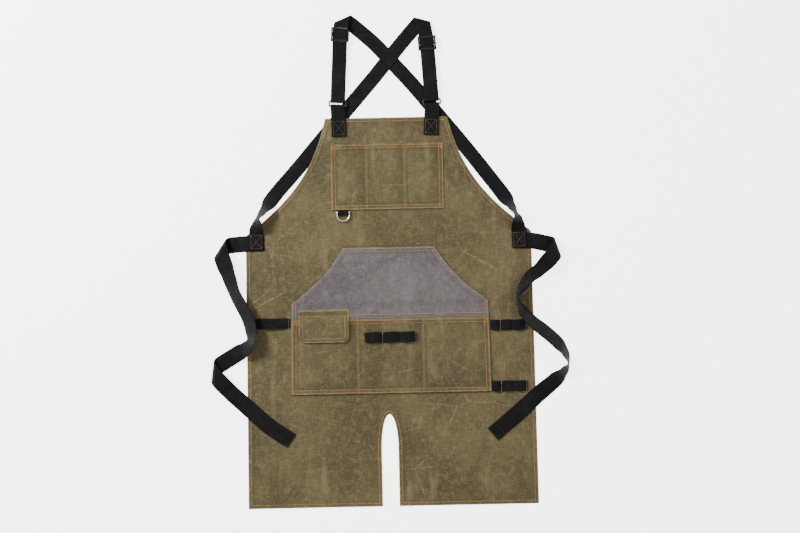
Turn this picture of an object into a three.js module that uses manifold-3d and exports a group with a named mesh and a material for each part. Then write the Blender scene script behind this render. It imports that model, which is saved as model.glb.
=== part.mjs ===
// Split-leg canvas work apron, laid flat on its back with its straps and ties spread out.
// Millimetres. +X to the apron's left-hand side as seen from the front, +Y from hem to bib,
// +Z up, out of the front of the cloth. Built about the middle of the hem and moved to its
// final origin, the middle of the underside of the whole apron, at the end.
import * as THREE from 'three';
import { mergeVertices } from 'three/addons/utils/BufferGeometryUtils.js';
import Module from 'manifold-3d';

const wasm = await Module();
wasm.setup();

// ---- driving dimensions ----
const GAP = 0.3;                // air between pieces that touch
const CANVAS = 1.2;             // thickness of the waxed canvas, hem to hem
const APRON_LENGTH = 913;       // hem to top of the bib
const HEM_HALF = 341;           // half width at the hem
const WAIST_HALF = 335;         // half width just below the side corners
const WAIST_HEIGHT = 645;       // height of the side corners
const BIB_HALF = 143.4;         // half width of the bib's top edge
const SLIT_HALF = 19.5;         // half width of the slit
const SLIT_CENTRE = -6;
const SLIT_ARCH = 80;           // height over which the slit closes
const BIB_LIFT = 2.1;           // the bib lies on the back straps
const SHOULDER_WIDTH = 34;      // shoulder webbing
const TIE_WIDTH = 38;           // waist tie webbing
const STRAP_THICK = 1.6;
const LOOP_WIDTH = 25;          // tool loop webbing
const LOOP_THICK = 1.4;
const LOOP_ROOM = 4.8;          // height inside a tool loop
const POCKET_ROOM = 4.6;        // height inside a pocket
const SEAM = 6;                 // sewn strip between two compartments
const HEM_SEAM = 10;            // sewn strip along a pocket's edge
const RAMP = 12;                // slope from a seam up to the pocket's front
const CHEST_HALF = 131.6;
const CHEST_DROP = 61.4;        // bib's top edge to the chest pocket's mouth
const CHEST_DEPTH = 153.6;
const CHEST_HIGH = APRON_LENGTH - CHEST_DROP;
const CHEST_LOW = CHEST_HIGH - CHEST_DEPTH;
const CHEST_DIVIDERS = [-48.7, 41];
const POCKET_HALF = 231;        // hand pocket and lower pocket, at the mouth
const MOUTH_DROP = 204;         // side corners to the lower pocket's mouth
const POCKET_DEPTH = 175;
const POCKET_MOUTH = WAIST_HEIGHT - MOUTH_DROP;
const POCKET_LOW = POCKET_MOUTH - POCKET_DEPTH;
const SLIT_CLEARANCE = 50;      // uncut canvas between the slit and the pocket
const SLIT_HEIGHT = POCKET_LOW - SLIT_CLEARANCE;
const POCKET_DIVIDER = 77;
const HAND_HALF = 108;          // half width of the hand pocket's top edge
const HAND_DROP = 36.4;         // side corners to the hand pocket's top edge
const HAND_HIGH = WAIST_HEIGHT - HAND_DROP;
const HAND_CORNER = POCKET_MOUTH + 39;  // lower end of the curved hand openings
const HAND_SEAM_MARGIN = 1.5;   // the hand pocket is sewn flat to this far above the flap
const FLAP_LEFT = -214;
const FLAP_RIGHT = -97;
const FLAP_HIGH = POCKET_MOUTH + 23.5;
const FLAP_HINGE = POCKET_MOUTH + 11;
const FLAP_LOW = POCKET_MOUTH - 53;
const FLAP_RADIUS = 15;
const GRIP_WIDTH = 64;          // hook and loop patches under the flap
const GRIP_HEIGHT = 20;
const GRIP_THICK = 0.9;
const RING_BAR = 3.6;           // bar of the strap rings
const RING_INNER_HEIGHT = 9;
const SLIDER_LENGTH = 33;
const SLIDER_RAIL = 2.2;
const SLIDER_ROOM = 2;          // air at each side of the strap in the slider
const SLIDER_PLATE = 1.8;
const D_BAR = 3.4;
const D_ROUNDING = 1.55;         // rounds the wire's section, so that the bar turns in its tab
const D_INNER = 26;             // inside width of the D-ring
const D_DEPTH = 21;             // bar centre line to the far inside of the bow
const D_CENTRE = -105;
const TAB_SLACK = 4.5;          // bar to the middle of the tab's fold

const BIB_FACE = BIB_LIFT + CANVAS + GAP;   // underside of what lies on the bib
const SKIRT_FACE = CANVAS + GAP;            // underside of what lies on the skirt
const HAND_FACE = SKIRT_FACE + CANVAS + GAP; // underside of what lies on the hand pocket
const CHEST_FRONT = BIB_LIFT + CANVAS + POCKET_ROOM;
const LOWER_FRONT = HAND_FACE - GAP + POCKET_ROOM;
const FLAP_FACE = LOWER_FRONT + CANVAS + 2 * GRIP_THICK + 3 * GAP;

const canvasOlive = new THREE.MeshStandardMaterial({ color: 0x7d704e, roughness: 0.85 });
const canvasGrey = new THREE.MeshStandardMaterial({ color: 0x827a7a, roughness: 0.85 });
const webbingBlack = new THREE.MeshStandardMaterial({ color: 0x1e1e20, roughness: 0.7 });
const plasticBlack = new THREE.MeshStandardMaterial({ color: 0x232323, roughness: 0.4 });
const nickel = new THREE.MeshStandardMaterial({ color: 0xc8c8cc, roughness: 0.25, metalness: 1 });
const gripBlack = new THREE.MeshStandardMaterial({ color: 0x141414, roughness: 0.95 });

const apron = new THREE.Group();

function add(name, geometry, material, parent = apron) {
  const mesh = new THREE.Mesh(geometry, material);
  mesh.name = name;
  parent.add(mesh);
  return mesh;
}

// ---- cloth as a grid of cells between a lower and an upper skin ----
// lower(i, j) and upper(i, j) give the grid's corners, with i along the cloth and j across
// it from left to right. has(i, j) is false for a cell that is cut away.
function clothSolid(rows, columns, lower, upper, has = () => true) {
  const stride = columns + 1;
  const positions = [];
  for (const skin of [lower, upper]) {
    for (let i = 0; i <= rows; i += 1) {
      for (let j = 0; j <= columns; j += 1) {
        const point = skin(i, j);
        positions.push(point.x, point.y, point.z);
      }
    }
  }
  const low = (i, j) => i * stride + j;
  const high = (i, j) => low(i, j) + (rows + 1) * stride;
  const faces = [];
  const quad = (a, b, c, d) => faces.push(a, b, c, a, c, d);
  const wall = (i0, j0, i1, j1) => quad(low(i0, j0), low(i1, j1), high(i1, j1), high(i0, j0));
  const cloth = (i, j) => i >= 0 && j >= 0 && i < rows && j < columns && has(i, j);
  for (let i = 0; i < rows; i += 1) {
    for (let j = 0; j < columns; j += 1) {
      if (!cloth(i, j)) continue;
      quad(high(i, j), high(i, j + 1), high(i + 1, j + 1), high(i + 1, j));
      quad(low(i, j), low(i + 1, j), low(i + 1, j + 1), low(i, j + 1));
      if (!cloth(i - 1, j)) wall(i, j, i, j + 1);
      if (!cloth(i + 1, j)) wall(i + 1, j + 1, i + 1, j);
      if (!cloth(i, j - 1)) wall(i + 1, j, i, j);
      if (!cloth(i, j + 1)) wall(i, j + 1, i + 1, j + 1);
    }
  }
  const geometry = new THREE.BufferGeometry();
  geometry.setAttribute('position', new THREE.Float32BufferAttribute(positions, 3));
  geometry.setIndex(faces);
  return geometry;
}

// A flat-bottomed sheet over a grid of x and y places, with its height given by rise(x, y).
function sheetOver(ys, xsAt, rise, thickness, has) {
  const place = (i, j, extra) => {
    const y = ys[i];
    const x = xsAt(y)[j];
    return new THREE.Vector3(x, y, rise(x, y) + extra);
  };
  const columns = xsAt(ys[0]).length - 1;
  return clothSolid(ys.length - 1, columns, (i, j) => place(i, j, 0),
    (i, j) => place(i, j, thickness), has);
}

// ---- webbing as a list of rows, each with its left and right edge ----
function webbing(rows, thickness) {
  const half = thickness / 2;
  const normals = rows.map((row, i) => {
    const before = rows[Math.max(i - 1, 0)];
    const after = rows[Math.min(i + 1, rows.length - 1)];
    const along = after.left.clone().add(after.right).sub(before.left).sub(before.right);
    const across = row.right.clone().sub(row.left);
    return across.cross(along).normalize();
  });
  const edge = (i, j) => (j === 0 ? rows[i].left : rows[i].right);
  const skin = (sign) => (i, j) => edge(i, j).clone().addScaledVector(normals[i], sign * half);
  return clothSolid(rows.length - 1, 1, skin(-1), skin(1));
}

const smooth = (f) => f * f * (3 - 2 * f);
const clamp01 = (f) => Math.min(Math.max(f, 0), 1);
const radians = THREE.MathUtils.degToRad;

// A place on a strap's middle line. base is the height of its lowest side, and roll, in
// degrees, lifts the left edge (positive) or the right edge (negative).
const at = (x, y, base = 0, roll = 0) => ({ x, y, base, roll });

const ROW_SPACING = 16;

function legRows(stations, width) {
  const points = stations.map((s) => new THREE.Vector3(s.x, s.y, 0));
  const line = new THREE.CatmullRomCurve3(points, false, 'centripetal');
  const spans = stations.length - 1;
  const rows = [];
  for (let i = 0; i < spans; i += 1) {
    const steps = Math.max(1, Math.round(points[i].distanceTo(points[i + 1]) / ROW_SPACING));
    const last = i === spans - 1 ? steps : steps - 1;
    for (let k = 0; k <= last; k += 1) {
      const t = (i + k / steps) / spans;
      const blend = smooth(k / steps);
      const roll = radians(THREE.MathUtils.lerp(stations[i].roll, stations[i + 1].roll, blend));
      const base = THREE.MathUtils.lerp(stations[i].base, stations[i + 1].base, blend);
      const tangent = line.getTangent(t);
      const half = new THREE.Vector3(-tangent.y, tangent.x, 0).multiplyScalar(Math.cos(roll));
      half.z = Math.sin(roll);
      half.multiplyScalar(width / 2);
      const centre = line.getPoint(t);
      centre.z = base + Math.abs(half.z) + (STRAP_THICK / 2) * Math.cos(roll);
      rows.push({ left: centre.clone().add(half), right: centre.clone().sub(half) });
    }
  }
  return rows;
}

// The same rows seen from the other face, for webbing that a fold has turned over.
const turnedOver = (rows) => rows.map(({ left, right }) => ({ left: right, right: left }));

// A soft diagonal fold where the middle line turns at corner, from the direction of before
// to that of after. The strap wraps a half circle of the given radius and comes out on top
// (side 1) or underneath (side -1). baseIn is the height of the strap as it comes in.
const FOLD_STEPS = 6;
const FOLD_LEAD = 3;

function fold(before, corner, after, radius, side, baseIn, width) {
  const from = new THREE.Vector2(corner.x - before.x, corner.y - before.y).normalize();
  const onto = new THREE.Vector2(after.x - corner.x, after.y - corner.y).normalize();
  const crease = from.clone().add(onto).normalize();
  const outward = from.clone().sub(onto).normalize();
  const sine = from.dot(outward);
  const cotangent = from.dot(crease) / sine;
  const turn = Math.sign(outward.cross(crease));
  const wrap = (Math.PI * radius) / 2;
  const middle = new THREE.Vector2(corner.x, corner.y).addScaledVector(outward, -wrap);
  const centreHeight = baseIn + STRAP_THICK / 2;
  const row = (run) => {
    const angle = clamp01((run + wrap) / (2 * wrap)) * Math.PI;
    const straight = Math.max(Math.abs(run) - wrap, 0);
    const out = radius * Math.sin(angle) - straight;
    const height = centreHeight + side * radius * (1 - Math.cos(angle));
    const edgeAt = (v) => {
      const along = run * cotangent + (turn * v) / sine;
      const plan = middle.clone().addScaledVector(crease, along).addScaledVector(outward, out);
      return new THREE.Vector3(plan.x, plan.y, height);
    };
    return { left: edgeAt(width / 2), right: edgeAt(-width / 2) };
  };
  const rows = [row(-wrap - FOLD_LEAD)];
  for (let k = 0; k <= FOLD_STEPS; k += 1) rows.push(row((2 * k / FOLD_STEPS - 1) * wrap));
  rows.push(row(wrap + FOLD_LEAD));
  const reach = (wrap + 2 * FOLD_LEAD) / sine + (width / 2) * Math.abs(cotangent);
  const baseOut = baseIn + side * 2 * radius;
  const entry = at(corner.x - from.x * reach, corner.y - from.y * reach, baseIn);
  const exit = at(corner.x + onto.x * reach, corner.y + onto.y * reach, baseOut);
  return { rows, entry, exit };
}

// ---- main panel: hem to bib, with the armholes and the slit between the legs ----
function sampleEdge(curve, count) {
  return curve.getPoints(count).map((p) => ({ x: p.x, y: p.y }));
}

// Half width at height y on an edge that climbs from its last point to its first.
function edgeHalfWidth(edge, y) {
  for (let k = 1; k < edge.length; k += 1) {
    const upper = edge[k - 1];
    const lower = edge[k];
    if (y >= lower.y) return lower.x + (upper.x - lower.x) * ((y - lower.y) / (upper.y - lower.y));
  }
  return edge[edge.length - 1].x;
}

const CORNER_CUT = 5;           // the side corners are nipped off
const armholeTop = new THREE.Vector2(BIB_HALF, APRON_LENGTH);
const armholeFoot = new THREE.Vector2(WAIST_HALF - CORNER_CUT, WAIST_HEIGHT);
const armholeSpan = armholeFoot.clone().sub(armholeTop);
const armhole = sampleEdge(new THREE.CubicBezierCurve(
  armholeTop,
  new THREE.Vector2(armholeTop.x + 0.143 * armholeSpan.x, armholeTop.y + 0.42 * armholeSpan.y),
  new THREE.Vector2(armholeTop.x + 0.384 * armholeSpan.x, armholeTop.y + 0.68 * armholeSpan.y),
  armholeFoot,
), 12);

function panelHalfWidth(y) {
  if (y >= WAIST_HEIGHT) return edgeHalfWidth(armhole, y);
  const side = WAIST_HEIGHT - CORNER_CUT;
  if (y >= side) return WAIST_HALF - (y - side);
  return HEM_HALF + (WAIST_HALF - HEM_HALF) * (y / side);
}

const LIFT_START = WAIST_HEIGHT + 10;
const LIFT_END = WAIST_HEIGHT + 40;
const bibLift = (y) => BIB_LIFT * clamp01((y - LIFT_START) / (LIFT_END - LIFT_START));

function mainPanel() {
  const archFoot = SLIT_HEIGHT - SLIT_ARCH;
  const archSteps = [0, 16, 32, 48, 64, 80].map(radians);
  const archHeights = archSteps.map((a) => archFoot + SLIT_ARCH * Math.sin(a));
  const above = [0.2, 0.4, 0.6, 0.8].map((f) => SLIT_HEIGHT + f * (WAIST_HEIGHT - SLIT_HEIGHT));
  const armholeRows = armhole.map((p) => p.y).reverse();
  const heights = [0, archFoot / 2, ...archHeights, SLIT_HEIGHT, ...above,
    WAIST_HEIGHT - CORNER_CUT, ...armholeRows, LIFT_START, LIFT_END];
  const ys = [...new Set(heights)].sort((a, b) => a - b);
  const slitHalf = (y) => {
    if (y >= SLIT_HEIGHT) return SLIT_HALF / 3;
    const climb = clamp01((y - archFoot) / SLIT_ARCH);
    return SLIT_HALF * Math.sqrt(1 - climb * climb);
  };
  const fractions = [0, 0.2, 0.4, 0.6, 0.8, 1];
  const xsAt = (y) => {
    const half = panelHalfWidth(y);
    const slit = y === SLIT_HEIGHT ? SLIT_HALF / 8 : slitHalf(y);
    const left = fractions.map((f) => THREE.MathUtils.lerp(-half, SLIT_CENTRE - slit, f));
    const right = fractions.map((f) => THREE.MathUtils.lerp(SLIT_CENTRE + slit, half, f));
    return [...left, ...right];
  };
  const slitCell = fractions.length - 1;
  const has = (i, j) => j !== slitCell || ys[i] >= SLIT_HEIGHT;
  return sheetOver(ys, xsAt, (x, y) => bibLift(y), CANVAS, has);
}
add('apron_panel', mainPanel(), canvasOlive);

// ---- pockets: flat seams with sloped sides up to a raised front, open along the mouth ----
// Places across a row of compartments, from seam to seam, with how far each is raised.
function compartmentColumns(edges) {
  const columns = [];
  for (let k = 0; k + 1 < edges.length; k += 1) {
    const leftSeam = k === 0 ? HEM_SEAM : SEAM / 2;
    const rightSeam = k + 2 === edges.length ? HEM_SEAM : SEAM / 2;
    if (k === 0) columns.push({ x: edges[0], raised: 0 });
    columns.push({ x: edges[k] + leftSeam, raised: 0 });
    columns.push({ x: edges[k] + leftSeam + RAMP, raised: 1 });
    columns.push({ x: edges[k + 1] - rightSeam - RAMP, raised: 1 });
    columns.push({ x: edges[k + 1] - rightSeam, raised: 0 });
    if (k + 2 === edges.length) columns.push({ x: edges[k + 1], raised: 0 });
  }
  return columns;
}

function compartmentPocket(edges, low, high, face, front, footHalf) {
  const columns = compartmentColumns(edges);
  const half = edges[edges.length - 1];
  const ys = [low, low + HEM_SEAM, low + HEM_SEAM + RAMP, (low + high) / 2, high];
  const raisedRow = [0, 0, 1, 1, 1];
  const stretch = (y) => THREE.MathUtils.lerp(footHalf / half, 1, (y - low) / (high - low));
  const corner = (i, j, extra) => {
    const raised = Math.min(columns[j].raised, raisedRow[i]);
    const z = THREE.MathUtils.lerp(face, front, raised) + extra;
    return new THREE.Vector3(columns[j].x * stretch(ys[i]), ys[i], z);
  };
  return clothSolid(ys.length - 1, columns.length - 1, (i, j) => corner(i, j, 0),
    (i, j) => corner(i, j, CANVAS));
}

const chestEdges = [-CHEST_HALF, ...CHEST_DIVIDERS, CHEST_HALF];
add('chest_pocket', compartmentPocket(chestEdges, CHEST_LOW, CHEST_HIGH, BIB_FACE, CHEST_FRONT,
  CHEST_HALF), canvasOlive);

const POCKET_FLARE = 4;         // the lower pocket is this much wider at its foot, each side
const lowerEdges = [-POCKET_HALF, -POCKET_DIVIDER, POCKET_DIVIDER, POCKET_HALF];
add('lower_pocket', compartmentPocket(lowerEdges, POCKET_LOW, POCKET_MOUTH, HAND_FACE, LOWER_FRONT,
  POCKET_HALF + POCKET_FLARE), canvasOlive);

function handPocket() {
  const seamLow = FLAP_HIGH + HAND_SEAM_MARGIN;
  const span = new THREE.Vector2(POCKET_HALF - HAND_HALF, HAND_CORNER - HAND_HIGH);
  const opening = sampleEdge(new THREE.CubicBezierCurve(
    new THREE.Vector2(HAND_HALF, HAND_HIGH),
    new THREE.Vector2(HAND_HALF + 0.179 * span.x, HAND_HIGH + 0.316 * span.y),
    new THREE.Vector2(HAND_HALF + 0.504 * span.x, HAND_HIGH + 0.689 * span.y),
    new THREE.Vector2(POCKET_HALF, HAND_CORNER),
  ), 8);
  const hem = HAND_HIGH - HEM_SEAM;
  const footHalf = POCKET_HALF + POCKET_FLARE;
  const openingRows = opening.map((p) => p.y).filter((y) => y > HAND_CORNER + RAMP && y < hem - RAMP);
  const ys = [POCKET_LOW, POCKET_MOUTH, seamLow, seamLow + RAMP, HAND_CORNER, HAND_CORNER + RAMP,
    ...openingRows, hem - RAMP, hem, HAND_HIGH].sort((a, b) => a - b);
  const halfWidth = (y) => (y >= HAND_CORNER ? edgeHalfWidth(opening, y)
    : THREE.MathUtils.lerp(footHalf, POCKET_HALF, (y - POCKET_LOW) / (HAND_CORNER - POCKET_LOW)));
  const shares = [-1, -0.9, -0.45, 0, 0.45, 0.9, 1];
  const raised = (i, j) => {
    const outer = j === 0 || j === shares.length - 1;
    const foot = outer ? HAND_CORNER : seamLow;
    return clamp01(Math.min(ys[i] - foot, hem - ys[i]) / RAMP);
  };
  const corner = (i, j, extra) => {
    const z = SKIRT_FACE + raised(i, j) * (POCKET_ROOM - GAP) + extra;
    return new THREE.Vector3(shares[j] * halfWidth(ys[i]), ys[i], z);
  };
  return clothSolid(ys.length - 1, shares.length - 1, (i, j) => corner(i, j, 0),
    (i, j) => corner(i, j, CANVAS));
}
add('hand_pocket', handPocket(), canvasGrey);

// ---- flap over the left compartment: a sewn heading and the part that lifts ----
function flapHeading() {
  const ys = [FLAP_HINGE + GAP / 2, FLAP_HIGH];
  return sheetOver(ys, () => [FLAP_LEFT, FLAP_RIGHT], () => HAND_FACE, CANVAS);
}

function flapPiece() {
  const ys = [FLAP_LOW];
  for (const degrees of [30, 60, 90]) {
    ys.push(FLAP_LOW + FLAP_RADIUS * (1 - Math.cos(radians(degrees))));
  }
  ys.push(POCKET_MOUTH - RAMP / 3, FLAP_HINGE - GAP / 2);
  const xsAt = (y) => {
    const down = clamp01((y - FLAP_LOW) / FLAP_RADIUS);
    const inset = FLAP_RADIUS * (1 - Math.sqrt(1 - (1 - down) * (1 - down)));
    return [FLAP_LEFT + inset, (FLAP_LEFT + FLAP_RIGHT) / 2, FLAP_RIGHT - inset];
  };
  const rise = (x, y) => (y > POCKET_MOUTH ? HAND_FACE : FLAP_FACE);
  return sheetOver(ys, xsAt, rise, CANVAS);
}
add('flap_heading', flapHeading(), canvasOlive);
add('pocket_flap', flapPiece(), canvasOlive);

function gripPatch(bottom) {
  const patch = new THREE.BoxGeometry(GRIP_WIDTH, GRIP_HEIGHT, GRIP_THICK);
  const y = FLAP_LOW + FLAP_RADIUS + GRIP_HEIGHT / 2;
  patch.translate((FLAP_LEFT + FLAP_RIGHT) / 2, y, bottom + GRIP_THICK / 2);
  return patch;
}
add('pocket_grip_patch', gripPatch(LOWER_FRONT + CANVAS + GAP), gripBlack);
add('flap_grip_patch', gripPatch(FLAP_FACE - GAP - GRIP_THICK), gripBlack);

// ---- tool loops: webbing sewn down at its tacks and standing off between them ----
const TACK_FLAT = 2;
const LOOP_RAMP = 5;
const CENTRE_LOOP_DROP = 55.5;  // pocket mouth to the lower edge of each loop strip
const HAMMER_LOOP_DROP = 19;
const UPPER_LOOP_DROP = 32.5;

function toolLoops(tacks, ends, low, face) {
  const rest = face + LOOP_THICK / 2;
  const raised = face - GAP + LOOP_ROOM + LOOP_THICK / 2;
  const profile = [[ends[0], rest]];
  for (let k = 0; k < tacks.length; k += 1) {
    if (k > 0) profile.push([tacks[k] - TACK_FLAT - LOOP_RAMP, raised]);
    if (k > 0) profile.push([tacks[k] - TACK_FLAT, rest]);
    if (k + 1 < tacks.length) profile.push([tacks[k] + TACK_FLAT, rest]);
    if (k + 1 < tacks.length) profile.push([tacks[k] + TACK_FLAT + LOOP_RAMP, raised]);
  }
  profile.push([ends[1], rest]);
  const rows = profile.map(([x, z]) => ({
    left: new THREE.Vector3(x, low + LOOP_WIDTH, z),
    right: new THREE.Vector3(x, low, z),
  }));
  return webbing(rows, LOOP_THICK);
}

const lowerFace = LOWER_FRONT + CANVAS + GAP;
add('centre_tool_loops', toolLoops([-57.6, -18.2, 22.3, 58.8], [-60.4, 61.6],
  POCKET_MOUTH - CENTRE_LOOP_DROP, lowerFace),
  webbingBlack);
const sideLoopStart = POCKET_HALF + POCKET_FLARE + GAP;
add('left_hammer_loop', toolLoops([-321, -sideLoopStart - 4], [-325, -sideLoopStart],
  POCKET_MOUTH - HAMMER_LOOP_DROP, SKIRT_FACE), webbingBlack);
const rightTacks = [sideLoopStart + 3, 258, 286, 317];
add('right_upper_tool_loops', toolLoops(rightTacks, [sideLoopStart, 320.5],
  POCKET_MOUTH - UPPER_LOOP_DROP, SKIRT_FACE), webbingBlack);
add('right_lower_tool_loops', toolLoops(rightTacks, [sideLoopStart, 320.5],
  POCKET_LOW - 1, SKIRT_FACE), webbingBlack);

// ---- D-ring on its folded webbing tab, below the chest pocket's left corner ----
const dBarHeight = BIB_FACE + LOOP_THICK + GAP + D_BAR / 2;
const dBarPlace = CHEST_LOW - 5;

function halfCircle(centre, radius, startDegrees, endDegrees, steps) {
  const points = [];
  for (let k = 0; k <= steps; k += 1) {
    const a = radians(THREE.MathUtils.lerp(startDegrees, endDegrees, k / steps));
    points.push([centre[0] + radius * Math.cos(a), centre[1] + radius * Math.sin(a)]);
  }
  return points;
}

function dRingTab() {
  const radius = (D_BAR + LOOP_THICK) / 2 + GAP;
  const bottom = dBarHeight - radius;
  const top = dBarHeight + radius;
  const end = dBarPlace - TAB_SLACK;
  const profile = [[CHEST_LOW - GAP, bottom],
    ...halfCircle([end, dBarHeight], radius, 270, 90, 6), [dBarPlace, top],
    [CHEST_LOW - GAP, top]];
  const half = D_INNER / 2 - 2 * GAP;
  const rows = profile.map(([y, z]) => ({
    left: new THREE.Vector3(D_CENTRE + half, y, z),
    right: new THREE.Vector3(D_CENTRE - half, y, z),
  }));
  return webbing(rows, LOOP_THICK);
}
add('d_ring_tab', dRingTab(), webbingBlack);

function dOutline(target, inset) {
  const half = D_INNER / 2 + D_BAR - inset;
  const top = D_BAR / 2 - inset;
  const bow = D_DEPTH + D_BAR / 2 - inset - half;
  target.moveTo(-half, top);
  target.lineTo(-half, -bow);
  target.absarc(0, -bow, half, Math.PI, 2 * Math.PI, false);
  target.lineTo(half, top);
  target.closePath();
  return target;
}

function dRing() {
  const shape = dOutline(new THREE.Shape(), 0);
  shape.holes.push(dOutline(new THREE.Path(), D_BAR));
  const ring = new THREE.ExtrudeGeometry(shape, { depth: D_BAR - 2 * D_ROUNDING,
    bevelThickness: D_ROUNDING, bevelSize: D_ROUNDING, bevelOffset: -D_ROUNDING,
    bevelSegments: 2, curveSegments: 14 });
  ring.translate(D_CENTRE, dBarPlace, dBarHeight - D_BAR / 2 + D_ROUNDING);
  return ring;
}
add('d_ring', dRing(), nickel);

// ---- shoulder straps ----
const lowLayer = GAP + STRAP_THICK + STRAP_THICK / 2;         // clears the back straps
const highLayer = lowLayer + STRAP_THICK + RING_BAR + 2 * GAP;
const ringHeight = (lowLayer + highLayer) / 2;
const wrapRadius = (highLayer - lowLayer) / 2;
const STUB_INSET = 35;          // bib edge to the middle of the strap stub
const STUB_REACH = 41;          // length of the stub's sewn patch
const RING_RISE = 26;           // bib edge to the ring's lower bar
const WRAP_SHIFT = 1.2;         // webbing bends this far past the middle of a ring's bar

// A straight lane that the front straps run along, from the ring up over the shoulder.
function lane(origin, target) {
  const along = new THREE.Vector3(target.x - origin.x, target.y - origin.y, 0).normalize();
  const right = new THREE.Vector3(along.y, -along.x, 0);
  const start = new THREE.Vector3(origin.x, origin.y, 0);
  const point = (run, height) => start.clone().addScaledVector(along, run).setZ(height);
  const row = ([run, height]) => ({
    left: point(run, height).addScaledVector(right, -SHOULDER_WIDTH / 2),
    right: point(run, height).addScaledVector(right, SHOULDER_WIDTH / 2),
  });
  return { along, point, row, angle: Math.atan2(-along.x, along.y) };
}

function roundedBox(target, halfWidth, halfHeight, radius) {
  const w = halfWidth - radius;
  const h = halfHeight - radius;
  target.moveTo(-w, -halfHeight);
  target.lineTo(w, -halfHeight);
  target.absarc(w, -h, radius, -Math.PI / 2, 0, false);
  target.lineTo(halfWidth, h);
  target.absarc(w, h, radius, 0, Math.PI / 2, false);
  target.lineTo(-w, halfHeight);
  target.absarc(-w, h, radius, Math.PI / 2, Math.PI, false);
  target.lineTo(-halfWidth, -h);
  target.absarc(-w, -h, radius, Math.PI, 1.5 * Math.PI, false);
  return target;
}

function strapRing() {
  const inner = SHOULDER_WIDTH / 2 + 1;
  const shape = roundedBox(new THREE.Shape(), inner + RING_BAR, RING_INNER_HEIGHT / 2 + RING_BAR, 3);
  shape.holes.push(roundedBox(new THREE.Path(), inner, RING_INNER_HEIGHT / 2, 1));
  const ring = new THREE.ExtrudeGeometry(shape, { depth: RING_BAR, bevelEnabled: false,
    curveSegments: 5 });
  ring.translate(0, 0, -RING_BAR / 2);
  return ring;
}

function toSolid(geometry) {
  geometry.deleteAttribute('normal');
  geometry.deleteAttribute('uv');
  const merged = mergeVertices(geometry, 1e-4);
  return new wasm.Manifold(new wasm.Mesh({
    numProp: 3,
    vertProperties: new Float32Array(merged.attributes.position.array),
    triVerts: new Uint32Array(merged.index.array),
  }));
}

function toGeometry(solid) {
  const mesh = solid.getMesh();
  const geometry = new THREE.BufferGeometry();
  geometry.setAttribute('position', new THREE.BufferAttribute(mesh.vertProperties, 3));
  geometry.setIndex(new THREE.BufferAttribute(mesh.triVerts, 1));
  return geometry;
}

function block(width, length, low, high, x, y) {
  const box = new THREE.BoxGeometry(width, length, high - low);
  box.translate(x, y, (low + high) / 2);
  return toSolid(box);
}

// Three-bar slider. The strap runs over the middle bar and under the two end bars.
const END_BAR = 5;
const MIDDLE_BAR = 4;

function slider() {
  const inner = SHOULDER_WIDTH / 2 + SLIDER_ROOM;
  const full = 2 * (inner + SLIDER_RAIL);
  const barLow = ringHeight - SLIDER_PLATE / 2;
  const barHigh = ringHeight + SLIDER_PLATE / 2;
  const plateLow = highLayer + STRAP_THICK / 2 + GAP;
  const plateHigh = plateLow + SLIDER_PLATE;
  const endPlace = (SLIDER_LENGTH - END_BAR) / 2;
  let body = block(full, MIDDLE_BAR, barLow, barHigh, 0, 0);
  for (const side of [-1, 1]) {
    const rail = block(SLIDER_RAIL, SLIDER_LENGTH, barLow, plateHigh,
      side * (inner + SLIDER_RAIL / 2), 0);
    body = body.add(rail);
    body = body.add(block(full, END_BAR, plateLow, plateHigh, 0, side * endPlace));
  }
  return toGeometry(body);
}

// The parts of one side's strap set: the sewn patch's foot, the ring, the slider, top with
// the corner of the diagonal fold, and back, which lists the way down to the far side corner.
function strapSet(name, patchFoot, ringPoint, sliderPoint, top, back) {
  const way = lane(ringPoint, sliderPoint);
  const sliderRun = Math.hypot(sliderPoint.x - ringPoint.x, sliderPoint.y - ringPoint.y);
  const ringHalf = (RING_INNER_HEIGHT + RING_BAR) / 2;

  const patchHigh = APRON_LENGTH - 2 - ringPoint.y;
  const patchLow = patchHigh - STUB_REACH;
  const patchBottom = BIB_FACE + STRAP_THICK / 2;
  const patchTop = patchBottom + STRAP_THICK + GAP;
  const bend = halfCircle([WRAP_SHIFT - ringHalf, ringHeight], wrapRadius, -90, 90, 8);
  const barEdge = -ringHalf - RING_BAR / 2;
  const patchWay = lane(ringPoint, ringPoint.clone().multiplyScalar(2).sub(patchFoot));
  const around = [[barEdge, lowLayer], ...bend, [barEdge, highLayer]];
  const stub = [
    ...[[patchLow, patchBottom], [patchHigh + 4, patchBottom]].map(patchWay.row),
    ...around.map(way.row),
    ...[[patchHigh + 4, patchTop], [patchLow, patchTop]].map(patchWay.row),
  ];
  add(`${name}_ring_stub`, webbing(stub, STRAP_THICK), webbingBlack);

  const ring = add(`${name}_strap_ring`, strapRing(), plasticBlack);
  ring.position.set(ringPoint.x, ringPoint.y, ringHeight);
  ring.rotation.z = way.angle;

  const clip = add(`${name}_slider`, slider(), plasticBlack);
  clip.position.set(sliderPoint.x, sliderPoint.y, 0);
  clip.rotation.z = way.angle;

  const tail = sliderRun + SLIDER_LENGTH / 2 - 4;
  const aroundRing = halfCircle([ringHalf - WRAP_SHIFT, ringHeight], wrapRadius, 270, 90, 8);
  const front = [[tail, lowLayer], [sliderRun / 2, lowLayer], ...aroundRing,
    [sliderRun / 2, highLayer], [sliderRun, highLayer]];
  const highBase = highLayer - STRAP_THICK / 2;
  const leaving = way.point(sliderRun + SLIDER_LENGTH / 3, 0);
  const radius = highBase / 2;
  const crease = fold(leaving, top.corner, top.after, radius, -1, highBase, SHOULDER_WIDTH);
  const rear = turnedOver(legRows([crease.exit, ...back], SHOULDER_WIDTH));
  const rows = [...front.map(way.row), ...crease.rows, ...rear];
  add(`${name}_shoulder_strap`, webbing(rows, STRAP_THICK), webbingBlack);
}

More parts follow.
